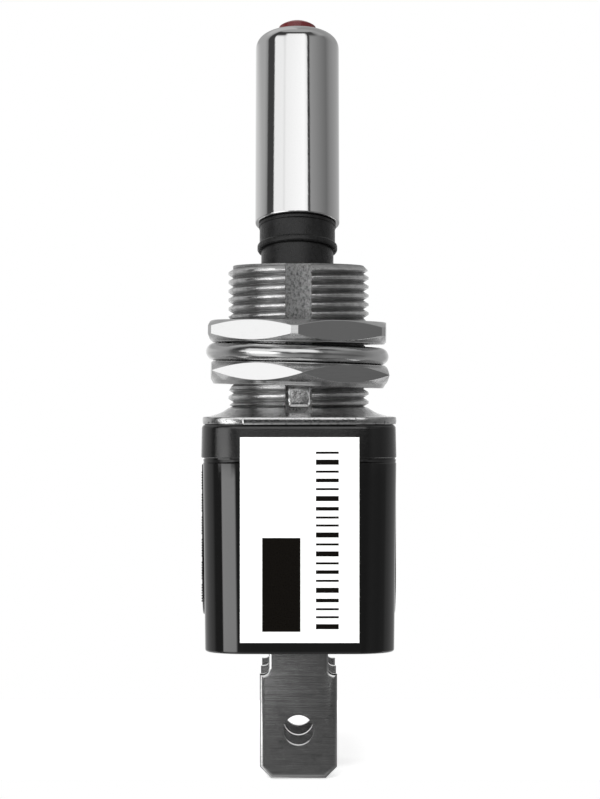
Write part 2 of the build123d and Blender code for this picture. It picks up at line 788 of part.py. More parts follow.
# Upper housing: a cap between the flange and the lower housing
with BuildPart() as top_housing:
    with BuildSketch(Plane.XY.offset(top_housing_foot)):
        RectangleRounded(housing_width, housing_depth, housing_corner)
    with BuildSketch(Plane.XY.offset(flange_foot)):
        RectangleRounded(housing_width - 2 * housing_draft, housing_depth, housing_corner)
    loft()
    fillet(top_housing.faces().sort_by(Axis.Z)[-1].edges(), top_edge_rounding)
    with BuildSketch(Plane.XY.offset(top_housing_foot)) as cap_cavity:
        RectangleRounded(
            housing_width - 2 * top_housing_wall,
            housing_depth - 2 * top_housing_wall,
            housing_corner - top_housing_wall,
        )
    extrude(amount=flange_foot - top_housing_roof - top_housing_foot, mode=Mode.SUBTRACT)
    with BuildSketch(Plane.XY.offset(flange_foot)) as spigot_hole:
        Circle(spigot_diameter / 2 + lip_clearance)
    extrude(amount=-top_housing_roof, mode=Mode.SUBTRACT)
top_housing.part.label = "top_housing"
export_step(top_housing.part, "parts/top_housing.step")

# Lower housing: a box that tapers downwards, with a recess and a lip at the parting
# line, a raised pad on each side, slots for the terminals and the rocker's stop
base_body_top = top_housing_foot - parting_height
base_inner_width = base_foot_width - 2 * base_wall
base_inner_depth = housing_depth - 2 * base_wall
base_inner_corner = housing_corner - base_wall
lip_width = housing_width - 2 * top_housing_wall - 2 * lip_clearance
lip_depth = housing_depth - 2 * top_housing_wall - 2 * lip_clearance
pad_top = top_housing_foot - pad_top_margin
pad_height = pad_top - base_foot - pad_foot_margin
stop_place = rocker_reach - stop_inset
stop_edge = Vector(-stop_place - stop_thickness / 2, 0)
rest_face = rocker_section.from_local_coords((-rocker_reach, contact_seat, 0))
stop_top = rest_face.Z + (stop_edge.X - rest_face.Y) * math.tan(rocker_tilt) - stop_clearance
with BuildPart() as base_housing:
    with BuildSketch(Plane.XY.offset(base_foot)):
        RectangleRounded(base_foot_width, housing_depth, housing_corner)
    with BuildSketch(Plane.XY.offset(base_body_top)):
        RectangleRounded(base_top_width, housing_depth, housing_corner)
    loft()
    fillet(base_housing.faces().sort_by(Axis.Z)[0].edges(), base_edge_rounding)
    with BuildSketch(Plane.XY.offset(base_body_top)) as recess:
        RectangleRounded(
            base_top_width - 2 * parting_recess,
            housing_depth - 2 * parting_recess,
            housing_corner - parting_recess,
        )
    extrude(amount=parting_height)
    with BuildSketch(Plane.XY.offset(top_housing_foot)) as lip:
        RectangleRounded(lip_width, lip_depth, housing_corner - top_housing_wall - lip_clearance)
    extrude(amount=lip_height)
    for side in (-1, 1):
        with BuildSketch(Plane.YZ.offset(side * base_inner_width / 2)) as pad:
            with Locations((0, pad_top)):
                Rectangle(pad_width, pad_height, align=(Align.CENTER, Align.MAX))
            fillet(pad.vertices().group_by(Axis.Y)[0], pad_corner)
        extrude(amount=side * (pad_face - base_inner_width / 2))
    with BuildSketch(Plane.XY.offset(floor_top)) as base_cavity:
        RectangleRounded(base_inner_width, base_inner_depth, base_inner_corner)
    extrude(amount=top_housing_foot + lip_height - floor_top, mode=Mode.SUBTRACT)
    with BuildSketch(Plane.XY.offset(floor_top)) as slots:
        with GridLocations(0, terminal_pitch, 1, 3):
            Rectangle(
                tab_neck_width + 2 * terminal_slot_clearance,
                tab_thickness + 2 * terminal_slot_clearance,
            )
    extrude(amount=-base_floor, mode=Mode.SUBTRACT)
    with BuildSketch(Plane.XY.offset(floor_top)) as stop:
        with Locations((0, -stop_place)):
            Rectangle(stop_width, stop_thickness)
    extrude(amount=stop_top - floor_top)
base_housing.part.label = "base_housing"
export_step(base_housing.part, "parts/base_housing.step")

# Plain label on the front, across the parting line
with BuildPart() as label:
    with BuildSketch(Plane.XZ.offset(housing_depth / 2)) as label_outline:
        with Locations((label_offset, (flange_foot + base_foot) / 2)):
            Rectangle(label_width, flange_foot - base_foot - 2 * label_margin)
    extrude(amount=label_thickness)
label.part.label = "label"
export_step(label.part, "parts/label.step")
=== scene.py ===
import math

import bmesh
import bpy
from mathutils import Matrix, Vector


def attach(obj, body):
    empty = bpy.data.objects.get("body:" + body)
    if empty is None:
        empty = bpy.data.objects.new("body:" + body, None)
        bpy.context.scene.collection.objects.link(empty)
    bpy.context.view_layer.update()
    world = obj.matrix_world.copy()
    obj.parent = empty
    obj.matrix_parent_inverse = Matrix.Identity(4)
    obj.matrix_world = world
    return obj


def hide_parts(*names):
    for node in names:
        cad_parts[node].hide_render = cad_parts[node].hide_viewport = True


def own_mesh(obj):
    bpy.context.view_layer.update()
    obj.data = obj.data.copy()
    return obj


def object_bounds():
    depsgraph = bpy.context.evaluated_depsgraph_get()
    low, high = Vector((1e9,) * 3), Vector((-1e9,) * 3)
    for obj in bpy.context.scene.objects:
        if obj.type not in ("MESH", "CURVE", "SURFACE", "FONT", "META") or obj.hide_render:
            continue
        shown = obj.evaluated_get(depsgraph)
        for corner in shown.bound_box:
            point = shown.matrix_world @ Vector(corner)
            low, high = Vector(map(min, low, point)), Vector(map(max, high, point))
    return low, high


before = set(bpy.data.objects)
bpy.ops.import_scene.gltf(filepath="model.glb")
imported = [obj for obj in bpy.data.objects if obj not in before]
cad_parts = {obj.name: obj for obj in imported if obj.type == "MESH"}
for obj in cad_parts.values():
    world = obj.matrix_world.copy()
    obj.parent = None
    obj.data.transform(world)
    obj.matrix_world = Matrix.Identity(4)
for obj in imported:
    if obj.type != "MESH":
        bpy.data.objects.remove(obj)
cad_low, cad_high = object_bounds()

# Sizes below are in millimetres, as in the CAD, and turned into metres when a mesh is made
MM = 0.001


# Frames that pieces stand in

def leaning(height, lean):
    """Frame of a nut or the ring: its right-hand side lowered by the lean, in degrees."""
    return Matrix.Translation((0, 0, height)) @ Matrix.Rotation(math.radians(lean), 4, "Y")


PIVOT = Vector((-0.1, 0, 7.1))
LEVER_LEAN = 14.0
LEVER = Matrix.Translation(PIVOT) @ Matrix.Rotation(-math.radians(LEVER_LEAN), 4, "X")


# Mesh building

def make_object(name, verts, faces, place=None, sharp=28.0):
    """Object from points in millimetres, moved by a frame, smooth except at its sharp edges."""
    place = place or Matrix.Identity(4)
    mesh = bpy.data.meshes.new(name)
    mesh.from_pydata([tuple((place @ Vector(v)) * MM) for v in verts], [], faces)
    bm = bmesh.new()
    bm.from_mesh(mesh)
    bmesh.ops.remove_doubles(bm, verts=bm.verts, dist=2e-7)
    bmesh.ops.dissolve_degenerate(bm, edges=bm.edges, dist=1e-7)
    bmesh.ops.recalc_face_normals(bm, faces=bm.faces)
    bm.to_mesh(mesh)
    bm.free()
    finish_mesh(mesh, sharp)
    obj = bpy.data.objects.new(name, mesh)
    bpy.context.scene.collection.objects.link(obj)
    return obj


def finish_mesh(mesh, sharp):
    """Smooth shading that breaks where faces meet at more than the given angle."""
    mesh.polygons.foreach_set("use_smooth", [True] * len(mesh.polygons))
    mesh.set_sharp_from_angle(angle=math.radians(sharp))
    mesh.update()


def closed_loops(loops, caps=True, wrap=False):
    """Vertices and faces of a skin over loops of equally many points, capped or wrapped round."""
    count = len(loops[0])
    verts = [p for loop in loops for p in loop]
    faces = []
    pairs = [(i, i + 1) for i in range(len(loops) - 1)]
    if wrap:
        pairs.append((len(loops) - 1, 0))
    for a, b in pairs:
        for j in range(count):
            k = (j + 1) % count
            faces.append((a * count + j, a * count + k, b * count + k, b * count + j))
    if caps and not wrap:
        faces.append(tuple(range(count - 1, -1, -1)))
        last = (len(loops) - 1) * count
        faces.append(tuple(range(last, last + count)))
    return verts, faces


def rounded_profile(points, steps=5):
    """Line of (r, z) points whose corners with a third number are rounded to that radius."""
    line = []
    total = len(points)
    for i, point in enumerate(points):
        radius = point[2] if len(point) > 2 else 0
        if not radius:
            line.append((point[0], point[1]))
            continue
        here = Vector(point[:2])
        before = (Vector(points[i - 1][:2]) - here).normalized()
        after = (Vector(points[(i + 1) % total][:2]) - here).normalized()
        half = before.angle(after) / 2
        reach = radius / math.tan(half)
        centre = here + (before + after).normalized() * (radius / math.sin(half))
        start = here + before * reach - centre
        end = here + after * reach - centre
        turn = start.angle(end)
        sign = 1 if start.x * end.y - start.y * end.x > 0 else -1
        for s in range(steps + 1):
            angle = sign * turn * s / steps
            x = start.x * math.cos(angle) - start.y * math.sin(angle)
            y = start.x * math.sin(angle) + start.y * math.cos(angle)
            line.append((centre.x + x, centre.y + y))
    return line


def lathe(name, profile, place=None, segments=160, closed=True, sharp=28.0):
    """Turned piece: a profile of (r, z) points revolved about the frame's own z axis."""
    loops = []
    for r, z in profile:
        ring = []
        for j in range(segments):
            angle = 2 * math.pi * j / segments
            ring.append((r * math.cos(angle), r * math.sin(angle), z))
        loops.append(ring)
    verts, faces = closed_loops(loops, caps=False, wrap=closed)
    return make_object(name, verts, faces, place, sharp)


def rounded_rectangle(width, depth, corner, z, arc=12, side=6):
    """Loop of a rounded rectangle's points at a height, with points along its sides too."""
    loop = []
    half_x, half_y = width / 2 - corner, depth / 2 - corner
    centres = ((half_x, half_y, 0), (-half_x, half_y, 90), (-half_x, -half_y, 180), (half_x, -half_y, 270))
    for i, (cx, cy, start) in enumerate(centres):
        for s in range(arc + 1):
            angle = math.radians(start + 90 * s / arc)
            loop.append((cx + corner * math.cos(angle), cy + corner * math.sin(angle), z))
        nx, ny, following = centres[(i + 1) % 4]
        angle = math.radians(following)
        end = (nx + corner * math.cos(angle), ny + corner * math.sin(angle))
        first = loop[-1]
        for s in range(1, side):
            t = s / side
            loop.append((first[0] + (end[0] - first[0]) * t, first[1] + (end[1] - first[1]) * t, z))
    return loop


def circle_like(loop, radius, z):
    """Circle with a point in the direction of each point of a loop."""
    ring = []
    for x, y, _ in loop:
        length = math.hypot(x, y)
        ring.append((x / length * radius, y / length * radius, z))
    return ring


def inset_outline(outline, amount):
    """A flat outline moved inwards by an amount, corner by corner."""
    area = sum(a[0] * b[1] - b[0] * a[1] for a, b in zip(outline, outline[1:] + outline[:1]))
    inward = 1 if area > 0 else -1
    moved = []
    for i, here in enumerate(outline):
        before, after = outline[i - 1], outline[(i + 1) % len(outline)]
        d1 = (Vector(here) - Vector(before)).normalized()
        d2 = (Vector(after) - Vector(here)).normalized()
        n1, n2 = Vector((-d1.y, d1.x)) * inward, Vector((-d2.y, d2.x)) * inward
        bisector = n1 + n2
        scale = amount * 2 / max(bisector.length_squared, 0.5)
        moved.append((here[0] + bisector.x * scale, here[1] + bisector.y * scale))
    return moved


def prism_parts(outline, low, high, bevel, mapping, steps=1, drop=None):
    """Prism over an outline, its edges rounded by a width and a drop; mapping places (a, b, height)."""
    drop = drop or bevel
    loops = []
    for s in range(steps + 1):
        angle = math.radians(90 * s / steps)
        inner = inset_outline(outline, bevel * (1 - math.sin(angle)))
        height = drop * (1 - math.cos(angle))
        loops.append([mapping(a, b, low + height) for a, b in inner])
    for s in range(steps, -1, -1):
        angle = math.radians(90 * s / steps)
        inner = inset_outline(outline, bevel * (1 - math.sin(angle)))
        height = drop * (1 - math.cos(angle))
        loops.append([mapping(a, b, high - height) for a, b in inner])
    return closed_loops(loops)


def joined(name, parts, place=None, sharp=28.0):
    """One object from several (verts, faces) shells."""
    verts, faces = [], []
    for part_verts, part_faces in parts:
        base = len(verts)
        verts += part_verts
        faces += [tuple(i + base for i in face) for face in part_faces]
    return make_object(name, verts, faces, place, sharp)


def cut(obj, cutter, sharp=28.0):
    """Takes a closed cutter out of an object, and removes the cutter."""
    modifier = obj.modifiers.new("cut", "BOOLEAN")
    modifier.operation = "DIFFERENCE"
    modifier.solver = "EXACT"
    modifier.object = cutter
    bpy.context.view_layer.update()
    graph = bpy.context.evaluated_depsgraph_get()
    mesh = bpy.data.meshes.new_from_object(obj.evaluated_get(graph))
    obj.modifiers.clear()
    old = obj.data
    obj.data = mesh
    bpy.data.meshes.remove(old)
    finish_mesh(mesh, sharp)
    bpy.data.objects.remove(cutter)


def flat_xy(a, b, height):
    return (a, b, height)


def flat_xz(a, b, height):
    return (a, height, b)


def flat_yz(a, b, height):
    return (height, a, b)


# Materials

class Recipe:
    """A node material being written: one shader, and textures in millimetres of the piece."""

    def __init__(self, name, colour, roughness, metallic=0.0, **settings):
        self.material = bpy.data.materials.new(name)
        self.material.use_nodes = True
        self.tree = self.material.node_tree
        self.tree.nodes.clear()
        self.out = self.tree.nodes.new("ShaderNodeOutputMaterial")
        self.shader = self.tree.nodes.new("ShaderNodeBsdfPrincipled")
        self.tree.links.new(self.shader.outputs[0], self.out.inputs[0])
        self.coords = self.tree.nodes.new("ShaderNodeTexCoord").outputs["Object"]
        self.set("Base Color", (*colour, 1.0))
        self.set("Roughness", roughness)
        self.set("Metallic", metallic)
        for key, value in settings.items():
            self.set(key.replace("_", " "), value)
        self.colour = colour
        self.roughness = roughness

    def set(self, socket, value):
        self.shader.inputs[socket].default_value = value

    def link(self, output, socket):
        self.tree.links.new(output, self.shader.inputs[socket])

    def noise(self, per_mm, detail=3.0, roughness=0.55):
        """Noise with its own number of features per millimetre along x, y and z."""
        mapping = self.tree.nodes.new("ShaderNodeMapping")
        mapping.inputs["Scale"].default_value = [p / MM for p in per_mm]
        self.tree.links.new(self.coords, mapping.inputs["Vector"])
        noise = self.tree.nodes.new("ShaderNodeTexNoise")
        noise.inputs["Scale"].default_value = 1.0
        noise.inputs["Detail"].default_value = detail
        noise.inputs["Roughness"].default_value = roughness
        self.tree.links.new(mapping.outputs[0], noise.inputs["Vector"])
        return noise.outputs["Fac"]

    def radius(self):
        """Distance from the piece's own z axis, in millimetres."""
        flat = self.tree.nodes.new("ShaderNodeVectorMath")
        flat.operation = "MULTIPLY"
        flat.inputs[1].default_value = (1 / MM, 1 / MM, 0)
        self.tree.links.new(self.coords, flat.inputs[0])
        length = self.tree.nodes.new("ShaderNodeVectorMath")
        length.operation = "LENGTH"
        self.tree.links.new(flat.outputs[0], length.inputs[0])
        return length.outputs["Value"]

    def rings(self, per_mm):
        """Noise that only changes with the distance from the piece's own z axis, as turning leaves it."""
        scaled = self.tree.nodes.new("ShaderNodeMath")
        scaled.operation = "MULTIPLY"
        scaled.inputs[1].default_value = per_mm
        self.tree.links.new(self.radius(), scaled.inputs[0])
        noise = self.tree.nodes.new("ShaderNodeTexNoise")
        noise.noise_dimensions = "1D"
        noise.inputs["Scale"].default_value = 1.0
        noise.inputs["Detail"].default_value = 3.0
        self.tree.links.new(scaled.outputs[0], noise.inputs["W"])
        return noise.outputs["Fac"]

    def spread(self, value, low, high, start=0.3, end=0.7):
        """Turns a texture between start and end into a number between low and high."""
        node = self.tree.nodes.new("ShaderNodeMapRange")
        node.inputs["From Min"].default_value = start
        node.inputs["From Max"].default_value = end
        node.inputs["To Min"].default_value = low
        node.inputs["To Max"].default_value = high
        self.tree.links.new(value, node.inputs["Value"])
        return node.outputs[0]

    def tint(self, value, dark, light):
        """Colour from one to another as the texture goes from 0 to 1."""
        node = self.tree.nodes.new("ShaderNodeMix")
        node.data_type = "RGBA"
        for socket, colour in (("A", dark), ("B", light)):
            if isinstance(colour, (tuple, list)):
                node.inputs[socket].default_value = (*colour, 1.0)
            else:
                self.tree.links.new(colour, node.inputs[socket])
        self.tree.links.new(value, node.inputs["Factor"])
        return node.outputs["Result"]

    def shades(self, value, depth):
        """The base colour, darker and lighter by a share."""
        dark = [c * (1 - depth) for c in self.colour]
        light = [min(1.0, c * (1 + depth)) for c in self.colour]
        shaded = self.tint(self.spread(value, 0, 1), dark, light)
        self.link(shaded, "Base Color")
        return shaded

    def rough(self, value, depth):
        """The base roughness, with a texture's change either way."""
        low, high = max(0.02, self.roughness - depth), self.roughness + depth
        self.link(self.spread(value, low, high), "Roughness")

    def bump(self, value, height, under=None):
        """Relief of a height in millimetres, on top of another relief."""
        node = self.tree.nodes.new("ShaderNodeBump")
        node.inputs["Strength"].default_value = 1.0
        node.inputs["Distance"].default_value = height * MM
        self.tree.links.new(value, node.inputs["Height"])
        if under is not None:
            self.tree.links.new(under, node.inputs["Normal"])
        self.link(node.outputs[0], "Normal")
        return node.outputs[0]


def chrome_sleeve():
    """Bright drawn chrome: faint lines along the lever and a few soft smears."""
    m = Recipe("chrome_sleeve", (0.74, 0.74, 0.74), 0.05, 1.0)
    drawn = m.noise((9, 9, 0.25), detail=4)
    smear = m.noise((0.35, 0.35, 0.2), detail=2)
    m.rough(smear, 0.015)
    m.bump(drawn, 0.0012)
    return m.material


def chrome_ring():
    """Bright plated ring with faint turning lines round it."""
    m = Recipe("chrome_ring", (0.62, 0.62, 0.62), 0.16, 1.0)
    turned = m.noise((0.5, 0.5, 14), detail=3)
    patch = m.noise((1.1, 1.1, 1.1), detail=4)
    m.rough(patch, 0.05)
    under = m.bump(patch, 0.012)
    m.bump(turned, 0.003, under=under)
    return m.material


def nut_flat():
    """Nickel plate over a milled flat: smooth, with a few specks."""
    m = Recipe("nut_flat", (0.62, 0.62, 0.62), 0.1, 1.0)
    milled = m.noise((0.6, 0.6, 8), detail=3)
    specks = m.noise((4.5, 4.5, 4.5), detail=5, roughness=0.7)
    speck = (0.4, 0.4, 0.4)
    m.link(m.tint(m.spread(specks, 0, 1, 0.24, 0.36), speck, m.colour), "Base Color")
    m.rough(milled, 0.03)
    m.bump(milled, 0.0012)
    return m.material


def nut_turned():
    """Nickel plate over turned faces and chamfers, with their rings."""
    m = Recipe("nut_turned", (0.62, 0.62, 0.62), 0.24, 1.0)
    rings = m.rings(9)
    cloud = m.noise((1.2, 1.2, 1.2), detail=4)
    m.shades(cloud, 0.12)
    m.rough(cloud, 0.06)
    m.bump(rings, 0.008)
    return m.material


def plated_casting():
    """Nickel plated die casting: bright on the crests; down in the thread darker and lined, partly residue
    and partly painted shade.
    """
    m = Recipe("plated_casting", (0.62, 0.62, 0.62), 0.1, 1.0)
    grain = m.noise((3.5, 3.5, 7), detail=6, roughness=0.75)
    lines = m.noise((1.1, 1.1, 9), detail=5, roughness=0.7)
    cloud = m.noise((1.6, 1.6, 3), detail=5, roughness=0.6)
    plated = m.shades(cloud, 0.25)
    # Painted shade with residue: the colour darkens from the crests towards the thread's roots
    depth = m.spread(m.radius(), 0, 1, 5.55, 5.9)
    groove, crest = (0.24, 0.24, 0.24), (0.52, 0.52, 0.52)
    root_residue_and_shade = m.tint(m.spread(lines, 0, 1), groove, crest)
    m.link(m.tint(depth, root_residue_and_shade, plated), "Base Color")
    m.link(m.spread(depth, 0.42, 0.1, 0, 1), "Roughness")
    under = m.bump(lines, 0.03)
    m.bump(grain, 0.012, under=under)
    return m.material


def plated_plate():
    """Flange of the casting: smoother plating, with dark pits along it."""
    m = Recipe("plated_plate", (0.64, 0.64, 0.64), 0.12, 1.0)
    pits = m.noise((2.6, 2.6, 4), detail=6, roughness=0.75)
    pit = (0.16, 0.16, 0.16)
    m.link(m.tint(m.spread(pits, 0, 1, 0.34, 0.46), pit, m.colour), "Base Color")
    m.rough(pits, 0.06)
    m.bump(pits, 0.016)
    return m.material


def cast_skin():
    """Rough skin of the casting where no tool has been: the keyway's floor."""
    m = Recipe("cast_skin", (0.6, 0.6, 0.6), 0.38, 1.0)
    pits = m.noise((3.6, 3.6, 2.9), detail=7, roughness=0.95)
    grain = m.noise((9, 9, 9), detail=3)
    pit, skin = (0.16, 0.16, 0.16), (1.0, 1.0, 1.0)
    m.link(m.tint(m.spread(pits, 0, 1, 0.4, 0.53), pit, skin), "Base Color")
    m.rough(grain, 0.08)
    under = m.bump(pits, 0.3)
    m.bump(grain, 0.03, under=under)
    return m.material


def pad_satin_and_wall_highlight():
    """Satin face of the key pad, with a soft unevenness. Also on the keyway's right-hand wall, where its
    lighter colour is a painted highlight.
    """
    m = Recipe("pad_satin_and_wall_highlight", (0.72, 0.72, 0.72), 0.18, 1.0)
    uneven = m.noise((0.8, 0.8, 0.7), detail=3)
    grain = m.noise((6, 6, 6), detail=5, roughness=0.65)
    m.shades(grain, 0.12)
    m.rough(grain, 0.06)
    under = m.bump(uneven, 0.04)
    m.bump(grain, 0.005, under=under)
    return m.material


def shaded_tab_edge():
    """Front face of the flange's tabs: grainy where it was trimmed, and dark as a painted shade."""
    m = Recipe("shaded_tab_edge", (0.3, 0.3, 0.3), 0.34, 1.0)
    torn = m.noise((4, 4, 9), detail=6, roughness=0.8)
    darkest_shade, high = (0.05, 0.05, 0.05), (0.34, 0.34, 0.34)
    m.link(m.tint(m.spread(torn, 0, 1, 0.45, 0.72), darkest_shade, high), "Base Color")
    m.rough(torn, 0.1)
    m.bump(torn, 0.1)
    return m.material


def black_housing():
    """Polished black moulding, with the slight waviness of its mould."""
    m = Recipe("black_housing", (0.0022, 0.0022, 0.0022), 0.05, IOR=1.75)
    wave = m.noise((0.25, 0.25, 0.06), detail=2)
    fine = m.noise((3, 3, 3), detail=4)
    m.shades(fine, 0.15)
    m.rough(fine, 0.03)
    m.bump(wave, 0.004)
    return m.material


def black_cap():
    """Black moulding with a finely eroded surface."""
    m = Recipe("black_cap", (0.0026, 0.0026, 0.0026), 0.13, IOR=1.75)
    eroded = m.noise((5, 5, 5), detail=5, roughness=0.7)
    m.shades(eroded, 0.2)
    m.rough(eroded, 0.05)
    m.bump(eroded, 0.012)
    return m.material


def black_stem():
    """Satin black moulding of the lever, scuffed round its neck."""
    m = Recipe("black_stem", (0.008, 0.008, 0.0082), 0.32, IOR=1.4)
    scuff = m.noise((2.2, 2.2, 1.6), detail=6, roughness=0.75)
    scratch = m.noise((0.8, 0.8, 7), detail=4, roughness=0.7)
    m.shades(scuff, 0.5)
    m.rough(scuff, 0.14)
    under = m.bump(scuff, 0.035)
    m.bump(scratch, 0.012, under=under)
    return m.material


def red_lens():
    """Deep red epoxy lens, with a painted sheen: its colour lighter towards its outline as seen."""
    m = Recipe("red_lens", (0.09, 0.005, 0.007), 0.24, IOR=1.45)
    haze = m.noise((1.5, 1.5, 1.5), detail=2)
    # Painted sheen: the colour lightens where the surface turns away from the view
    edge = m.tree.nodes.new("ShaderNodeLayerWeight")
    edge.inputs["Blend"].default_value = 0.3
    middle, rim = (0.075, 0.009, 0.011), (0.22, 0.055, 0.055)
    m.link(m.tint(edge.outputs["Facing"], middle, rim), "Base Color")
    m.rough(haze, 0.04)
    return m.material


def terminal_metal():
    """Tin plated brass strip, finely brushed across the blade, with a few dark smudges."""
    m = Recipe("terminal_metal", (0.56, 0.56, 0.56), 0.15, 1.0)
    brushed = m.noise((0.22, 3, 12), detail=6, roughness=0.75)
    smudge = m.noise((0.9, 2, 1.4), detail=6, roughness=0.7)
    smudged, dark, light = (0.44, 0.44, 0.44), (0.48, 0.48, 0.48), (0.66, 0.66, 0.66)
    shine = m.tint(m.spread(brushed, 0, 1), dark, light)
    m.link(m.tint(m.spread(smudge, 0, 1, 0.27, 0.41), smudged, shine), "Base Color")
    m.rough(smudge, 0.03)
    m.bump(brushed, 0.005)
    return m.material


def label_film():
    """White label stock with a faint paper grain."""
    m = Recipe("label_film", (0.9, 0.9, 0.895), 0.42, IOR=1.45)
    grain = m.noise((9, 9, 9), detail=3)
    m.shades(grain, 0.012)
    m.rough(grain, 0.05)
    m.bump(grain, 0.0015)
    return m.material


def label_ink():
    """Dense black print with a slight warmth."""
    m = Recipe("label_ink", (0.0024, 0.0017, 0.001), 0.3, IOR=1.25)
    grain = m.noise((12, 12, 12), detail=2)
    m.shades(grain, 0.25)
    m.rough(grain, 0.05)
    return m.material


def plain_metal(name, colour, roughness, per_mm, relief):
    """Small metal part inside: stamped, drawn or turned, with its lines."""
    m = Recipe(name, colour, roughness, 1.0)
    lines = m.noise(per_mm, detail=4)
    cloud = m.noise((1.2, 1.2, 1.2), detail=3)
    m.shades(cloud, 0.08)
    m.rough(lines, 0.07)
    m.bump(lines, relief)
    return m.material


def plain_moulding(name, colour, roughness, relief):
    """Small moulded or coated part inside."""
    m = Recipe(name, colour, roughness, IOR=1.5)
    grain = m.noise((4, 4, 4), detail=4)
    m.shades(grain, 0.08)
    m.rough(grain, 0.06)
    m.bump(grain, relief)
    return m.material


CHROME_SLEEVE = chrome_sleeve()
CHROME_RING = chrome_ring()
NUT_FLAT = nut_flat()
NUT_TURNED = nut_turned()
PLATED_CASTING = plated_casting()
PLATED_PLATE = plated_plate()
CAST_SKIN = cast_skin()
PAD_SATIN_AND_WALL_HIGHLIGHT = pad_satin_and_wall_highlight()
SHADED_TAB_EDGE = shaded_tab_edge()
BLACK_HOUSING = black_housing()
BLACK_CAP = black_cap()
BLACK_STEM = black_stem()
RED_LENS = red_lens()
TERMINAL_METAL = terminal_metal()
SPRING_WIRE = plain_metal("spring_wire", (0.55, 0.55, 0.54), 0.22, (3, 3, 3), 0.002)
LABEL_FILM = label_film()
LABEL_INK = label_ink()


def dress(obj, node, body, slot, *materials):
    """Gives a piece its materials and its body, and hides the CAD node that it stands for, if any. The slot
    is not used.
    """
    for material in materials:
        obj.data.materials.append(material)
    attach(obj, body)
    if node:
        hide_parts(node)


# Bushing: casting with a screw thread, a keyway down its front, a skirt and a flange

CREST, PITCH_RADIUS, ROOT = 5.95, 5.725, 5.5
THREAD_PITCH = 0.75
BUSHING_TOP, THREAD_FOOT, BUSHING_FOOT = 12.75, 0.84, -1.9
BORE, MOUTH, MOUTH_DEPTH = 4.351, 4.751, 1.0
LEAD_IN = 0.45
RUN_OUT = (THREAD_FOOT - 0.1, THREAD_FOOT + 0.2)

# Heights between which the nuts cover the thread, each with the height where the change is over
COVER_START, COVER_END = (2.2, 2.35), (8.2, 8.35)

# One turn of the thread: height above the crest's middle, and radius
THREAD_STEPS = (
    (-0.15, 5.88), (-0.12, 5.93), (-0.09, CREST), (0.09, CREST), (0.12, 5.93), (0.15, 5.88),
    (0.35, 5.53), (0.365, 5.51), (0.385, 5.51), (0.4, 5.53),
)

# Flared skirt and the spigot under the flange: radius and height
SKIRT = (
    (5.62, 0.81), (5.82, 0.78), (5.98, 0.7), (6.15, 0.58), (6.41, 0.42), (6.72, 0.28), (7.05, 0.17),
    (7.35, 0.09), (7.58, 0.03), (7.7, 0.0), (7.7, -0.3), (5.2, -0.3), (5.2, -1.65), (5.6, -1.65),
    (5.6, BUSHING_FOOT),
)

# Keyway's cutter, seen from above, its floor's corners rounded
KEYWAY = (
    (-1.1, -9.0), (1.1, -9.0), (1.1, -5.7), (1.02, -5.3), (0.9, -5.08), (0.7, -4.98), (0.4, -4.95),
    (-0.4, -4.95), (-0.75, -4.97), (-0.98, -5.06), (-1.07, -5.3), (-1.1, -5.7),
)
KEYWAY_FOOT, KEYWAY_TOP = 0.3, 14.0
KEYWAY_REACH, FLOOR_REACH = -4.9, -5.3

# Key pad standing in the keyway, seen from the front
KEY_PAD = (
    (-0.97, 2.6), (-0.97, 1.05), (-0.94, 0.93), (-0.87, 0.83), (-0.77, 0.77), (-0.64, 0.75),
    (0.64, 0.75), (0.77, 0.77), (0.87, 0.83), (0.94, 0.93), (0.97, 1.05), (0.97, 2.6),
)

# Right-hand corner of the flange's tab, which stands proud of its front and back
TAB_HALF = 4.65
TAB_CORNER = ((TAB_HALF, 9.85), (TAB_HALF, 9.9), (TAB_HALF - 0.03, 9.97), (TAB_HALF - 0.1, 10.0))
FLANGE_SHIFT = 0.08


def smooth(value, start, end):
    """0 before start, 1 after end, easing between."""
    t = min(1.0, max(0.0, (value - start) / (end - start)))
    return t * t * (3 - 2 * t)


def thread_column(angle):
    """Heights and radii of the thread's edges at one angle, clamped to the thread's ends."""
    column = []
    turns = int((BUSHING_TOP - THREAD_FOOT) / THREAD_PITCH) + 3
    first = THREAD_FOOT - 1.5 * THREAD_PITCH
    for turn in range(turns):
        for step, radius in THREAD_STEPS:
            z = first + THREAD_PITCH * (turn + angle / (2 * math.pi)) + step
            z = min(BUSHING_TOP, max(THREAD_FOOT, z))
            covered = smooth(z, *COVER_START) * (1 - smooth(z, *COVER_END))
            r = radius + (min(radius, PITCH_RADIUS) - radius) * covered
            r = ROOT + (r - ROOT) * smooth(z, *RUN_OUT)
            r = min(r, CREST - LEAD_IN + BUSHING_TOP - z)
            column.append((r, z))
    return column


def bushing_mesh(segments=288):
    """Skin of the bushing, its rows following the thread."""
    below = [
        (BORE, BUSHING_FOOT), (BORE, BUSHING_TOP - MOUTH_DEPTH),
        (MOUTH - 0.03, BUSHING_TOP - 0.05), (MOUTH + 0.05, BUSHING_TOP),
    ]
    columns = []
    for j in range(segments):
        angle = 2 * math.pi * j / segments
        thread = thread_column(angle)[::-1]
        ring = below + thread + list(SKIRT)
        columns.append([(r * math.cos(angle), r * math.sin(angle), z) for r, z in ring])
    rows = len(columns[0])
    top_row = len(below)
    thread_rows = len(thread_column(0.0))
    per_turn = len(THREAD_STEPS)
    verts = [p for column in columns for p in column]
    faces = []
    for j in range(segments):
        k = (j + 1) % segments
        for i in range(rows):
            n = (i + 1) % rows
            a, b = i, n
            if k == 0:
                a = wrapped_row(i, top_row, thread_rows, per_turn)
                b = wrapped_row(n, top_row, thread_rows, per_turn)
            faces.append((j * rows + i, j * rows + n, k * rows + b, k * rows + a))
    return verts, faces


def wrapped_row(row, top_row, thread_rows, per_turn):
    """Row of the first column that the last column's row meets, one turn of the thread on."""
    inside = top_row <= row < top_row + thread_rows
    return max(top_row, row - per_turn) if inside else row


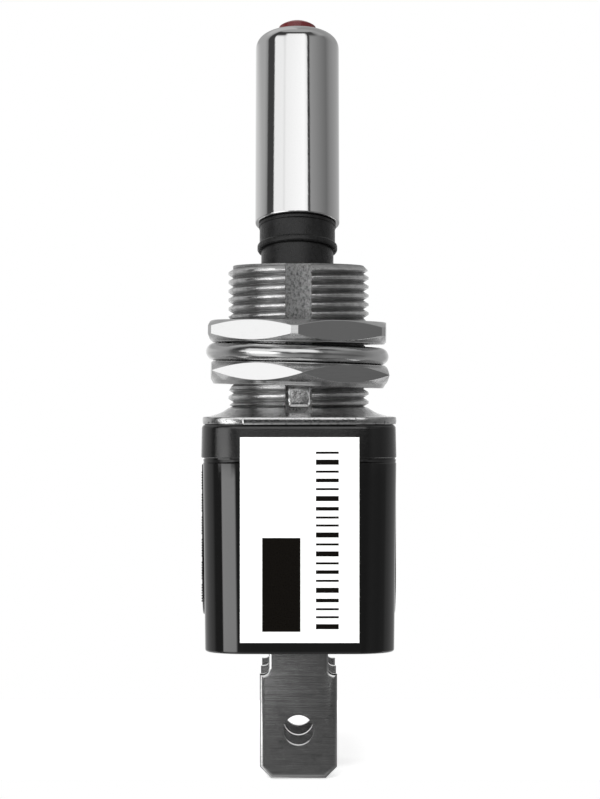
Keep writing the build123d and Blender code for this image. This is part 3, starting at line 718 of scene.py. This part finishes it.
def flange_outline():
    """Outline of the flange plate, with its wide tab at the front and the back."""
    width, depth, corner = 16.0, 19.7, 3.4
    plate = [(x, y) for x, y, _ in rounded_rectangle(width, depth, corner, 0, arc=14, side=2)]
    tab = list(TAB_CORNER) + [(-x, y) for x, y in reversed(TAB_CORNER)]
    outline = []
    for i, (x, y) in enumerate(plate):
        if abs(x) < TAB_HALF + 0.05:
            continue
        outline.append((x, y))
        following = plate[(i + 1) % len(plate)][0]
        if abs(following) < TAB_HALF + 0.05:
            side = 1 if y > 0 else -1
            outline += [(tab_x * side, tab_y * side) for tab_x, tab_y in tab]
    return outline


def bushing():
    """Casting, flange plate and key pad. Faces of the keyway and of the tabs' edges get their own look: the
    keyway's right-hand wall a lighter metal as a painted highlight, the tabs' front faces a dark one as
    painted shade.
    """
    verts, faces = bushing_mesh()
    casting = make_object("bushing_casting", verts, faces, sharp=36)
    levels = [[(x, y, z) for x, y in KEYWAY] for z in (KEYWAY_FOOT, KEYWAY_TOP)]
    cut(casting, joined("keyway_cutter", [closed_loops(levels)]), sharp=36)
    plate = prism_parts(flange_outline(), -0.6, 0.0, 0.07, flat_xy, steps=8, drop=0.25)
    pad = prism_parts(KEY_PAD, -5.35, -4.5, 0.42, flat_xz, steps=8, drop=0.2)
    key = joined("key_pad", [pad], Matrix.Translation((0.03, 0, 0)), sharp=30)
    flange = joined("flange_plate", [plate], Matrix.Translation((FLANGE_SHIFT, 0, 0)), sharp=22)
    flange.data.materials.append(PLATED_PLATE)
    flange.data.materials.append(SHADED_TAB_EDGE)
    # The flat front faces of the tabs get the dark edge metal, a painted shade
    for face in flange.data.polygons:
        across = abs(face.center.x - FLANGE_SHIFT * MM)
        if across < (TAB_HALF - 0.15) * MM and abs(face.normal.y) > 0.999:
            face.material_index = 1
    casting.data.materials.append(PLATED_CASTING)
    casting.data.materials.append(CAST_SKIN)
    casting.data.materials.append(PAD_SATIN_AND_WALL_HIGHLIGHT)
    wall = max(x for x, _ in KEYWAY) + 0.02
    for face in casting.data.polygons:
        x, y, z = face.center / MM
        if abs(x) > wall or y > KEYWAY_REACH or z < KEYWAY_FOOT or abs(face.normal.z) > 0.5:
            continue
        if y > FLOOR_REACH:
            face.material_index = 1
        # The keyway's right-hand wall, which faces the left-hand soft box, gets the lighter pad metal as a
        # painted highlight
        elif face.normal.x < -0.9:
            face.material_index = 2
    dress(casting, "threaded_bushing", "base", "plated_casting")
    dress(flange, None, "base", "plated_casting")
    dress(key, None, "base", "plated_casting", PAD_SATIN_AND_WALL_HIGHLIGHT)


# Panel nuts: hexagons with turned chamfers that leave arched flats

def nut(name, middle, lean, turn, half_height, arch, corner_round, corner_steps):
    """Nut about its middle. The arch gives the height of the flats' middle, and their half height
    in the middle and at the corners. A corner in one step is a narrow facet."""
    apothem, bore, face_start, lead_in = 7.42, 5.81, 6.2, 0.4
    corner_radius = 2 * apothem / math.sqrt(3)
    washer = apothem - 0.04
    arch_middle, arch_half, corner_half = arch
    half_side = (apothem - corner_round) * math.tan(math.radians(30))
    flat_points = 44
    outline = []
    for side in range(6):
        normal = math.radians(60 * side + turn)
        nx, ny = math.cos(normal), math.sin(normal)
        for s in range(flat_points):
            t = half_side * (2 * s / (flat_points - 1) - 1)
            outline.append((apothem * nx - t * ny, apothem * ny + t * nx))
        cx = (apothem - corner_round) * nx - half_side * ny
        cy = (apothem - corner_round) * ny + half_side * nx
        for s in range(1, corner_steps):
            angle = normal + math.radians(60 * s / corner_steps)
            outline.append((cx + corner_round * math.cos(angle), cy + corner_round * math.sin(angle)))

    def half_section(reach, sign):
        """From the bore to the flat, over the upper face or under the lower one."""
        face = sign * half_height
        ledge = arch_middle + sign * arch_half
        share = (reach - apothem) / (corner_radius - apothem)
        flat = arch_middle + sign * (arch_half + (corner_half - arch_half) * share)
        rim = max(0.01, min(0.08, abs(face - ledge)))
        foot = washer - 0.45 * abs(face - ledge)
        return [
            (bore, face - sign * lead_in), (face_start, face), (foot - rim, face),
            (foot - 0.3 * rim, face - sign * 0.3 * rim), (foot, face - sign * rim), (washer, ledge),
            (reach - 0.035, flat - sign * 0.012), (reach, flat - sign * 0.05),
        ]

    rows = []
    for x, y in outline:
        reach = math.hypot(x, y)
        line = half_section(reach, 1) + half_section(reach, -1)[::-1]
        rows.append([(x / reach * r, y / reach * r, z) for r, z in line])
    loops = [list(loop) for loop in zip(*rows)]
    verts, faces = closed_loops(loops, wrap=True)
    place = leaning(middle, lean)
    made = make_object(name, verts, faces, place, sharp=20)
    made.data.materials.append(NUT_TURNED)
    made.data.materials.append(NUT_FLAT)
    upright = place.inverted()
    for face in made.data.polygons:
        centre = upright @ (face.center / MM)
        normal = upright.to_3x3() @ face.normal
        if abs(normal.z) < 0.2 and centre.xy.length > apothem - 0.02:
            face.material_index = 1
    return made


# Lever: stem, sleeve, lamp and spring, about the lever's own axis

SEAT = 22.86
CHAMBER_END = -2.3


def stem():
    """Tail with the plunger's chamber, neck, bead, collar, and the tube inside the sleeve."""
    profile = rounded_profile([
        (1.3, -11.5), (1.95, -11.5, 0.1), (1.95, -3.4), (3.0, -2.4), (3.0, 4.2), (3.08, 4.6),
        (3.08, 7.15), (3.3, 7.15, 0.1), (3.41, 7.3, 0.15), (3.41, 7.62, 0.15), (3.3, 7.77, 0.1),
        (3.22, 7.77), (3.22, 9.26, 0.05), (3.3, 9.26, 0.08), (3.3, 9.56, 0.05), (3.05, 9.56),
        (3.05, 24.6, 0.15), (2.0, 24.6), (2.0, SEAT), (1.75, SEAT), (1.75, 12.0), (1.6, 12.0),
        (1.6, 2.1), (0.0, 2.1), (0.0, CHAMBER_END), (1.3, CHAMBER_END),
    ], steps=4)
    return lathe("lever_moulding", profile, LEVER, segments=144)


def sleeve():
    """Drawn tube with a full crown, a superellipse between its side and the lamp's hole."""
    profile = rounded_profile([(3.1, 9.6, 0.08), (3.6, 9.6, 0.14), (3.61, 26.8)], steps=6)[:-1]
    hole_edge, crown_width, crown_foot, crown_rise = 1.72, 1.89, 25.33, 1.45
    fullness, steps = 2 / 2.4, 32
    for s in range(steps + 1):
        angle = math.radians(90 * s / steps)
        across, up = math.cos(angle) ** fullness, math.sin(angle) ** fullness
        profile.append((hole_edge + crown_width * across, crown_foot + crown_rise * up))
    profile += [(1.67, 26.75), (1.65, 26.67), (1.65, 26.33), (2.2, 26.33), (2.8, 25.96), (3.1, 25.26)]
    return lathe("lever_chrome_tube", profile, LEVER, segments=200, sharp=40)


def lamp():
    """Round lamp with a foot flange and a domed tip."""
    radius, tip, dome = 1.6, 28.03, 2.6
    foot_radius, foot_top, steps = 1.95, SEAT + 1.0, 24
    profile = [(0.0, SEAT), (foot_radius, SEAT), (foot_radius, foot_top), (radius, foot_top)]
    opening = math.asin(radius / dome)
    for s in range(steps + 1):
        angle = opening * (1 - s / steps)
        profile.append((dome * math.sin(angle), tip - dome + dome * math.cos(angle)))
    return lathe("lamp_lens", profile, LEVER, segments=96, closed=False)


def spring():
    """Coil spring under the stem's floor, at one fixed length; the real one shortens as the plunger is
    pressed in.
    """
    wire, coil, turns, per_turn, sides = 0.15, 0.9, 6, 24, 8
    shoulder, travel = -7.0, 0.6
    low, high = shoulder + wire, CHAMBER_END - wire
    loops = []
    for s in range(turns * per_turn + 1):
        angle = 2 * math.pi * s / per_turn
        middle = low + (high - low) * s / (turns * per_turn)
        loop = []
        for side in range(sides):
            around = 2 * math.pi * side / sides
            r = coil + wire * math.cos(around)
            loop.append((r * math.cos(angle), r * math.sin(angle), middle + wire * math.sin(around)))
        loops.append(loop)
    made = joined("coil_spring", [closed_loops(loops)], LEVER, sharp=60)
    dress(made, "plunger_spring", "lever", "steel_pin", SPRING_WIRE)
    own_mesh(made)


# Ring washer with a full-round rim, between the nuts

def ring():
    half, outer, inner, lead_in, steps = 0.74, 7.73, 6.15, 0.12, 28
    centre = outer - half
    profile = [(inner + lead_in, -half), (centre, -half)]
    for s in range(1, steps):
        angle = math.radians(-90 + 180 * s / steps)
        profile.append((centre + half * math.cos(angle), half * math.sin(angle)))
    profile += [(centre, half), (inner + lead_in, half), (inner, half - lead_in), (inner, lead_in - half)]
    place = leaning(5.28, 1.8) @ Matrix.Translation((-0.1, 0, 0))
    return lathe("ring_washer_bright", profile, place, segments=240, sharp=30)


# Housings: moulded cap and box

DEPTH, CORNER = 20.0, 3.3
PARTING = -3.35


def cap():
    """Cap under the flange, open below, with the bushing's hole in its roof."""
    width, roof, ceiling, hole_radius = 16.1, -0.6, -1.6, 5.25
    inner = (13.9, 17.8, 2.2)
    rounding, steps = 0.35, 10
    loops = [
        rounded_rectangle(*inner, PARTING),
        rounded_rectangle(width - 0.1, DEPTH - 0.1, CORNER - 0.05, PARTING),
        rounded_rectangle(width, DEPTH, CORNER, PARTING + 0.06),
    ]
    for s in range(steps + 1):
        angle = math.radians(90 * s / steps)
        inset = 0.05 + rounding * (1 - math.cos(angle))
        z = roof - rounding + rounding * math.sin(angle)
        loops.append(rounded_rectangle(width - 2 * inset, DEPTH - 2 * inset, CORNER - inset, z))
    hole = circle_like(loops[-1], hole_radius, roof)
    loops.append(hole)
    loops.append([(x, y, ceiling) for x, y, _ in hole])
    loops.append(rounded_rectangle(*inner, ceiling))
    verts, faces = closed_loops(loops, wrap=True)
    return make_object("housing_cap", verts, faces, Matrix.Translation((0.03, 0, 0)), sharp=32)


def base_shell():
    """Tapering box, rounded at its foot, with a groove and a lip at the parting line."""
    foot, top, foot_width, inner_floor, ledge = -19.3, -3.74, 15.6, -16.3, -2.55
    rounding, steps = 0.2, 6
    loops = []
    for s in range(steps, -1, -1):
        angle = math.radians(90 * s / steps)
        inset = rounding * (1 - math.cos(angle))
        z = foot + rounding * (1 - math.sin(angle))
        loops.append(rounded_rectangle(foot_width - 2 * inset, DEPTH - 2 * inset, CORNER - inset, z))
    loops += [
        rounded_rectangle(15.95, DEPTH, CORNER, top - 0.05),
        rounded_rectangle(15.85, DEPTH - 0.1, CORNER - 0.05, top),
        rounded_rectangle(15.85, 19.6, 3.1, top),
        rounded_rectangle(15.92, 19.86, 3.23, PARTING - 0.14),
        rounded_rectangle(15.78, 19.5, 3.05, PARTING - 0.12),
        rounded_rectangle(15.78, 19.5, 3.05, PARTING),
        rounded_rectangle(13.8, 17.7, 2.15, PARTING),
        rounded_rectangle(13.8, 17.7, 2.15, ledge),
        rounded_rectangle(12.6, 17.0, 1.8, ledge),
        rounded_rectangle(12.6, 17.0, 1.8, inner_floor),
    ]
    return closed_loops(loops)


def side_pad(low, high):
    """Raised pad on a side, straight above and with two large round corners below."""
    half, top, radius, corner_middle, steps = 6.0, -3.9, 4.0, -12.6, 8
    outline = [(-half, top), (half, top)]
    for middle, start in ((half - radius, 0), (radius - half, -90)):
        for s in range(steps + 1):
            angle = math.radians(start - 90 * s / steps)
            outline.append((middle + radius * math.cos(angle), corner_middle + radius * math.sin(angle)))
    return prism_parts(outline, low, high, 0.06, flat_yz)


def pad_rib(z):
    """Fine plain rib across the left pad."""
    reach, half = 5.3, 0.055
    outline = [(-reach, z - half), (reach, z - half), (reach, z + half), (-reach, z + half)]
    return prism_parts(outline, -8.15, -8.0, 0.02, flat_yz)


def base_box():
    groups, group_pitch, ribs, rib_pitch, first_rib = 6, 1.87, 7, 0.22, -4.6
    parts = [base_shell(), side_pad(-8.08, -7.6), side_pad(7.6, 7.97)]
    for group in range(groups):
        for rib in range(ribs):
            parts.append(pad_rib(first_rib - group_pitch * group - rib_pitch * rib))
    return joined("housing_box", parts, Matrix.Translation((0.1, 0, 0)), sharp=32)


# Label, with a plain printed block and plain bars, and the blade terminals

def panel(x0, z0, x1, z1, front, back, bevel):
    """Thin upright rectangle between two depths."""
    outline = [(x0, z0), (x1, z0), (x1, z1), (x0, z1)]
    return prism_parts(outline, front, back, bevel, flat_xz)


def label():
    return joined("label_plate", [panel(-4.76, -18.37, 4.96, -1.63, -10.07, -9.99, 0.02)])


def label_print():
    """Plain block at the lower left and a column of plain bars at the right."""
    ink = (-10.078, -10.06, 0.003)
    bars = (0.18, 0.42, 0.18, 0.3, 0.18, 0.42, 0.3, 0.18, 0.18, 0.42) * 2
    gap, top = 0.47, -2.8
    parts = [panel(-2.95, -17.46, 0.16, -9.82, *ink)]
    for bar in bars:
        parts.append(panel(1.42, top - bar, 3.28, top, *ink))
        top -= bar + gap
    return joined("label_ink", parts)


def blade(name, place, top):
    """Blade terminal: bevelled tab with clipped corners and a hole, and a narrower neck."""
    half, neck, tip, shoulder, head, half_thickness = 3.175, 2.435, -29.65, -21.1, -16.3, 0.4
    clip, fillet_radius, hole_radius, hole_height = 0.93, 0.5, 1.25, 3.93
    fillet = []
    for s in range(7):
        angle = math.radians(90 * s / 6)
        x = neck + fillet_radius - fillet_radius * math.cos(angle)
        fillet.append((x, shoulder + fillet_radius - fillet_radius * math.sin(angle)))
    outline = [(half - clip, tip), (half, tip + clip), (half, shoulder)]
    outline += fillet[::-1]
    outline += [(neck, head), (half, head), (half, top), (-half, top), (-half, head), (-neck, head)]
    outline += [(-x, z) for x, z in fillet]
    outline += [(-half, shoulder), (-half, tip + clip), (clip - half, tip)]
    low, high = place - half_thickness, place + half_thickness
    shell = prism_parts(outline, low, high, 0.36, flat_xz, steps=6, drop=0.16)
    obj = joined(name, [shell], sharp=24)
    hole = []
    for s in range(64):
        angle = 2 * math.pi * s / 64
        z = tip + hole_height + hole_radius * math.sin(angle)
        hole.append((hole_radius * math.cos(angle), z))
    drill = [[(x, place + y, z) for x, z in hole] for y in (-1.0, 1.0)]
    cutter = joined(name + "_drill", [closed_loops(drill)])
    cut(obj, cutter, sharp=24)
    return obj


# Pieces in place

bushing()
upper_nut = nut(
    "upper_nut_bright", middle=7.125, lean=0.8, turn=-2.2, half_height=0.925,
    arch=(0.06, 0.86, 0.31), corner_round=0.6, corner_steps=1,
)
lower_nut = nut(
    "lower_nut_bright", middle=3.55, lean=1.65, turn=2.4, half_height=0.965,
    arch=(0.125, 0.76, 0.05), corner_round=0.1, corner_steps=6,
)
dress(upper_nut, "upper_nut", "upper_nut", "nickel_nut")
dress(lower_nut, "lower_nut", "lower_nut", "nickel_nut")
dress(ring(), "ring_washer", "base", "chrome_ring", CHROME_RING)
dress(stem(), "lever_stem", "lever", "black_stem", BLACK_STEM)
dress(sleeve(), "lever_sleeve", "lever", "chrome_sleeve", CHROME_SLEEVE)
dress(lamp(), "led_lamp", "lever", "red_lens", RED_LENS)
spring()
dress(cap(), "top_housing", "base", "black_housing", BLACK_CAP)
dress(base_box(), "base_housing", "base", "black_housing", BLACK_HOUSING)
dress(label(), "label", "base", "label_film", LABEL_FILM)
dress(label_print(), None, "base", "label_film", LABEL_INK)
ground_blade = blade("ground_blade", place=-7.5, top=-11.0)
dress(ground_blade, "ground_terminal", "base", "terminal_metal", TERMINAL_METAL)

# Pieces inside, and the two blades behind, stay as the CAD has them and get their looks
INSIDE = {
    "supply_terminal": TERMINAL_METAL,
    "load_terminal": TERMINAL_METAL,
    "led_anode_lead": plain_metal("tinned_lead", (0.62, 0.62, 0.6), 0.3, (4, 4, 0.6), 0.003),
    "led_resistor": plain_moulding("resistor_coat", (0.6, 0.47, 0.33), 0.38, 0.01),
    "pivot_pin": plain_metal("steel_pin", (0.52, 0.52, 0.53), 0.2, (0.5, 9, 9), 0.002),
    "plunger": plain_moulding("pale_nylon", (0.72, 0.7, 0.63), 0.35, 0.006),
    "rocker_contact": plain_metal("contact_brass", (0.78, 0.58, 0.3), 0.28, (0.5, 8, 8), 0.004),
    "moving_contact": plain_metal("contact_silver", (0.86, 0.85, 0.82), 0.3, (3, 3, 3), 0.004),
    "lamp_ground_wire": plain_moulding("wire_coat", (0.03, 0.03, 0.033), 0.4, 0.006),
}
INSIDE["led_cathode_lead"] = INSIDE["led_anode_lead"]
INSIDE["fixed_contact"] = INSIDE["moving_contact"]
INSIDE["lamp_load_wire"] = INSIDE["lamp_ground_wire"]
for node, material in INSIDE.items():
    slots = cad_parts[node].data.materials
    if len(slots):
        for i in range(len(slots)):
            slots[i] = material
    else:
        slots.append(material)


# Floor, studio and camera

def floor():
    """Pale floor under the blades. What the camera sees of it is white, apart from the shadow."""
    mesh = bpy.data.meshes.new("studio_floor")
    half_width, front, back = 0.036, -0.0076, 0.056
    z = cad_low.z - 0.0001
    corners = [(-half_width, front, z), (half_width, front, z), (half_width, back, z), (-half_width, back, z)]
    mesh.from_pydata(corners, [], [(0, 1, 2, 3)])
    obj = bpy.data.objects.new("studio_floor", mesh)
    bpy.context.scene.collection.objects.link(obj)
    material = bpy.data.materials.new("studio_floor")
    material.use_nodes = True
    tree = material.node_tree
    tree.nodes.clear()
    out = tree.nodes.new("ShaderNodeOutputMaterial")
    matt = tree.nodes.new("ShaderNodeBsdfDiffuse")
    matt.inputs["Color"].default_value = (0.86, 0.86, 0.86, 1)
    glow = tree.nodes.new("ShaderNodeEmission")
    glow.inputs["Color"].default_value = (1, 1, 1, 1)
    path = tree.nodes.new("ShaderNodeLightPath")
    share = tree.nodes.new("ShaderNodeMath")
    share.operation = "MULTIPLY"
    share.inputs[1].default_value = 0.6
    tree.links.new(path.outputs["Is Camera Ray"], share.inputs[0])
    tree.links.new(share.outputs[0], glow.inputs["Strength"])
    both = tree.nodes.new("ShaderNodeAddShader")
    tree.links.new(matt.outputs[0], both.inputs[0])
    tree.links.new(glow.outputs[0], both.inputs[1])
    tree.links.new(both.outputs[0], out.inputs[0])
    mesh.materials.append(material)


# Studio: how bright the surroundings are by direction, in degrees from the front
# (negative is the left). Behind the part is the white backdrop, to its left a tall soft
# box, and bright panels hang over the camera and overhead. Each row is the elevation
# where it takes over from the row before, the one where it has, and its panels.
AROUND = (
    (None, None, (
        (-180, 0.38), (-130, 0.45), (-110, 0.4), (-96, 0.2), (-80, 0.14), (-72, 0.5), (-62, 1.0), (-34, 1.0),
        (-24, 0.4), (0, 0.3), (16, 0.33), (23, 0.12), (45, 0.26), (80, 0.2), (110, 0.36), (180, 0.38),
    )),
    (-22, -10, (
        (-180, 1.0), (-165, 0.9), (-150, 0.65), (-125, 0.5), (-100, 0.36), (-90, 0.1), (-66, 0.1),
        (-63, 2.5), (-25, 2.5), (-20, 0.12), (4, 0.09), (30, 0.09), (46, 0.14), (70, 0.12),
        (90, 0.15), (100, 0.28), (125, 0.4), (150, 0.45), (168, 0.8), (180, 1.0),
    )),
    (-2.4, -1.3, (
        (-180, 1.0), (-165, 0.9), (-150, 0.75), (-129, 0.63), (-105, 0.42), (-96, 0.3), (-92, 0.1),
        (-77, 0.1), (-74, 1.45), (-36, 1.45), (-32, 0.2), (-8, 0.15), (-6.5, 1.1), (-2.6, 1.1), (-2, 0.14),
        (4, 0.13), (14, 0.11), (34, 0.09), (46, 0.2), (70, 0.17), (95, 0.24), (119, 0.36), (150, 0.5),
        (170, 0.8), (180, 1.0),
    )),
    (7, 15, (
        (-180, 0.44), (-125, 0.48), (-106, 0.47), (-96, 0.34), (-91, 0.06), (-72, 0.06), (-69, 1.1),
        (-44, 1.12), (-39, 1.0), (-34, 1.15), (20, 1.3), (29, 1.1), (32, 0.05), (36, 0.05), (39, 0.37),
        (53, 0.32), (72, 0.25), (90, 0.19), (105, 0.3), (125, 0.38), (180, 0.42),
    )),
    (31, 43, (
        (-180, 0.45), (-165, 0.6), (-120, 0.6), (-98, 0.45), (-92, 0.12), (-84, 0.05), (-42, 0.05),
        (-32, 1.08), (24, 1.24), (32, 0.05), (58, 0.1), (74, 0.32), (90, 0.42), (120, 0.36),
        (165, 0.36), (180, 0.45),
    )),
    (46, 50, (
        (-180, 0.45), (-165, 0.6), (-120, 0.6), (-98, 0.45), (-92, 0.12), (-84, 0.05), (58, 0.06), (70, 0.32),
        (90, 0.42), (120, 0.36), (165, 0.36), (180, 0.45),
    )),
    (56, 64, (
        (-180, 0.45), (-165, 0.6), (-120, 0.6), (-95, 0.45), (95, 0.45), (120, 0.36), (165, 0.36),
        (180, 0.45),
    )),
)


def studio():
    world = bpy.data.worlds.new("studio")
    bpy.context.scene.world = world
    world.use_nodes = True
    tree = world.node_tree
    tree.nodes.clear()

    def math_node(operation, *values):
        node = tree.nodes.new("ShaderNodeMath")
        node.operation = operation
        for i, value in enumerate(values):
            if isinstance(value, (int, float)):
                node.inputs[i].default_value = value
            else:
                tree.links.new(value, node.inputs[i])
        return node.outputs[0]

    def panels(angle, stops):
        """Brightness round the horizon, as a ramp with a stop at each panel's edge."""
        ramp = tree.nodes.new("ShaderNodeValToRGB")
        share = math_node("DIVIDE", math_node("ADD", angle, 180.0), 360.0)
        tree.links.new(share, ramp.inputs[0])
        elements = ramp.color_ramp.elements
        while len(elements) < len(stops):
            elements.new(0.5)
        for element, (at, level) in zip(elements, stops):
            element.position = (at + 180) / 360
            element.color = (level, level, level, 1)
        return ramp.outputs[0]

    def between(value, start, end):
        node = tree.nodes.new("ShaderNodeMapRange")
        node.interpolation_type = "SMOOTHSTEP"
        node.inputs["From Min"].default_value = start
        node.inputs["From Max"].default_value = end
        tree.links.new(value, node.inputs["Value"])
        return node.outputs[0]

    def mix(factor, a, b):
        node = tree.nodes.new("ShaderNodeMix")
        node.data_type = "RGBA"
        node.clamp_factor = True
        for socket, value in (("Factor", factor), ("A", a), ("B", b)):
            if isinstance(value, tuple):
                node.inputs[socket].default_value = value
            else:
                tree.links.new(value, node.inputs[socket])
        return node.outputs["Result"]

    coords = tree.nodes.new("ShaderNodeTexCoord")
    split = tree.nodes.new("ShaderNodeSeparateXYZ")
    tree.links.new(coords.outputs["Generated"], split.inputs[0])
    x, y, z = split.outputs
    turn = math_node("DEGREES", math_node("ARCTAN2", x, math_node("MULTIPLY", y, -1.0)))
    rise = math_node("DEGREES", math_node("ARCSINE", z))
    room = panels(turn, AROUND[0][2])
    for start, end, stops in AROUND[1:]:
        room = mix(between(rise, start, end), room, panels(turn, stops))
    path = tree.nodes.new("ShaderNodeLightPath")
    seen = mix(path.outputs["Is Camera Ray"], room, (1.0, 1.0, 1.0, 1))
    background = tree.nodes.new("ShaderNodeBackground")
    tree.links.new(seen, background.inputs[0])
    out = tree.nodes.new("ShaderNodeOutputWorld")
    tree.links.new(background.outputs[0], out.inputs[0])


def soft_lamp(name, place, size, power):
    """Square soft lamp that faces the part and isn't itself seen."""
    data = bpy.data.lights.new(name, "AREA")
    data.shape = "SQUARE"
    data.size = size
    data.energy = power
    obj = bpy.data.objects.new(name, data)
    obj.location = place
    obj.rotation_euler = (Vector((0, 0, 0)) - Vector(place)).to_track_quat("-Z", "Y").to_euler()
    obj.visible_camera = False
    obj.visible_glossy = False
    bpy.context.scene.collection.objects.link(obj)


def camera():
    """Level view from the front, 250 mm away, with the long lens of the photograph."""
    data = bpy.data.cameras.new("camera")
    data.lens = 132.9
    data.sensor_width = 36
    data.clip_start = 0.01
    data.clip_end = 100
    obj = bpy.data.objects.new("camera", data)
    obj.location = (0.000127, -0.25, 0.00144)
    obj.rotation_euler = (math.radians(90), 0, 0)
    bpy.context.scene.collection.objects.link(obj)
    bpy.context.scene.camera = obj


floor()
studio()
soft_lamp("front_lamp", (-0.1, -0.6, 0.35), 0.5, 6.0)
camera()
bpy.context.scene.view_settings.view_transform = "Standard"
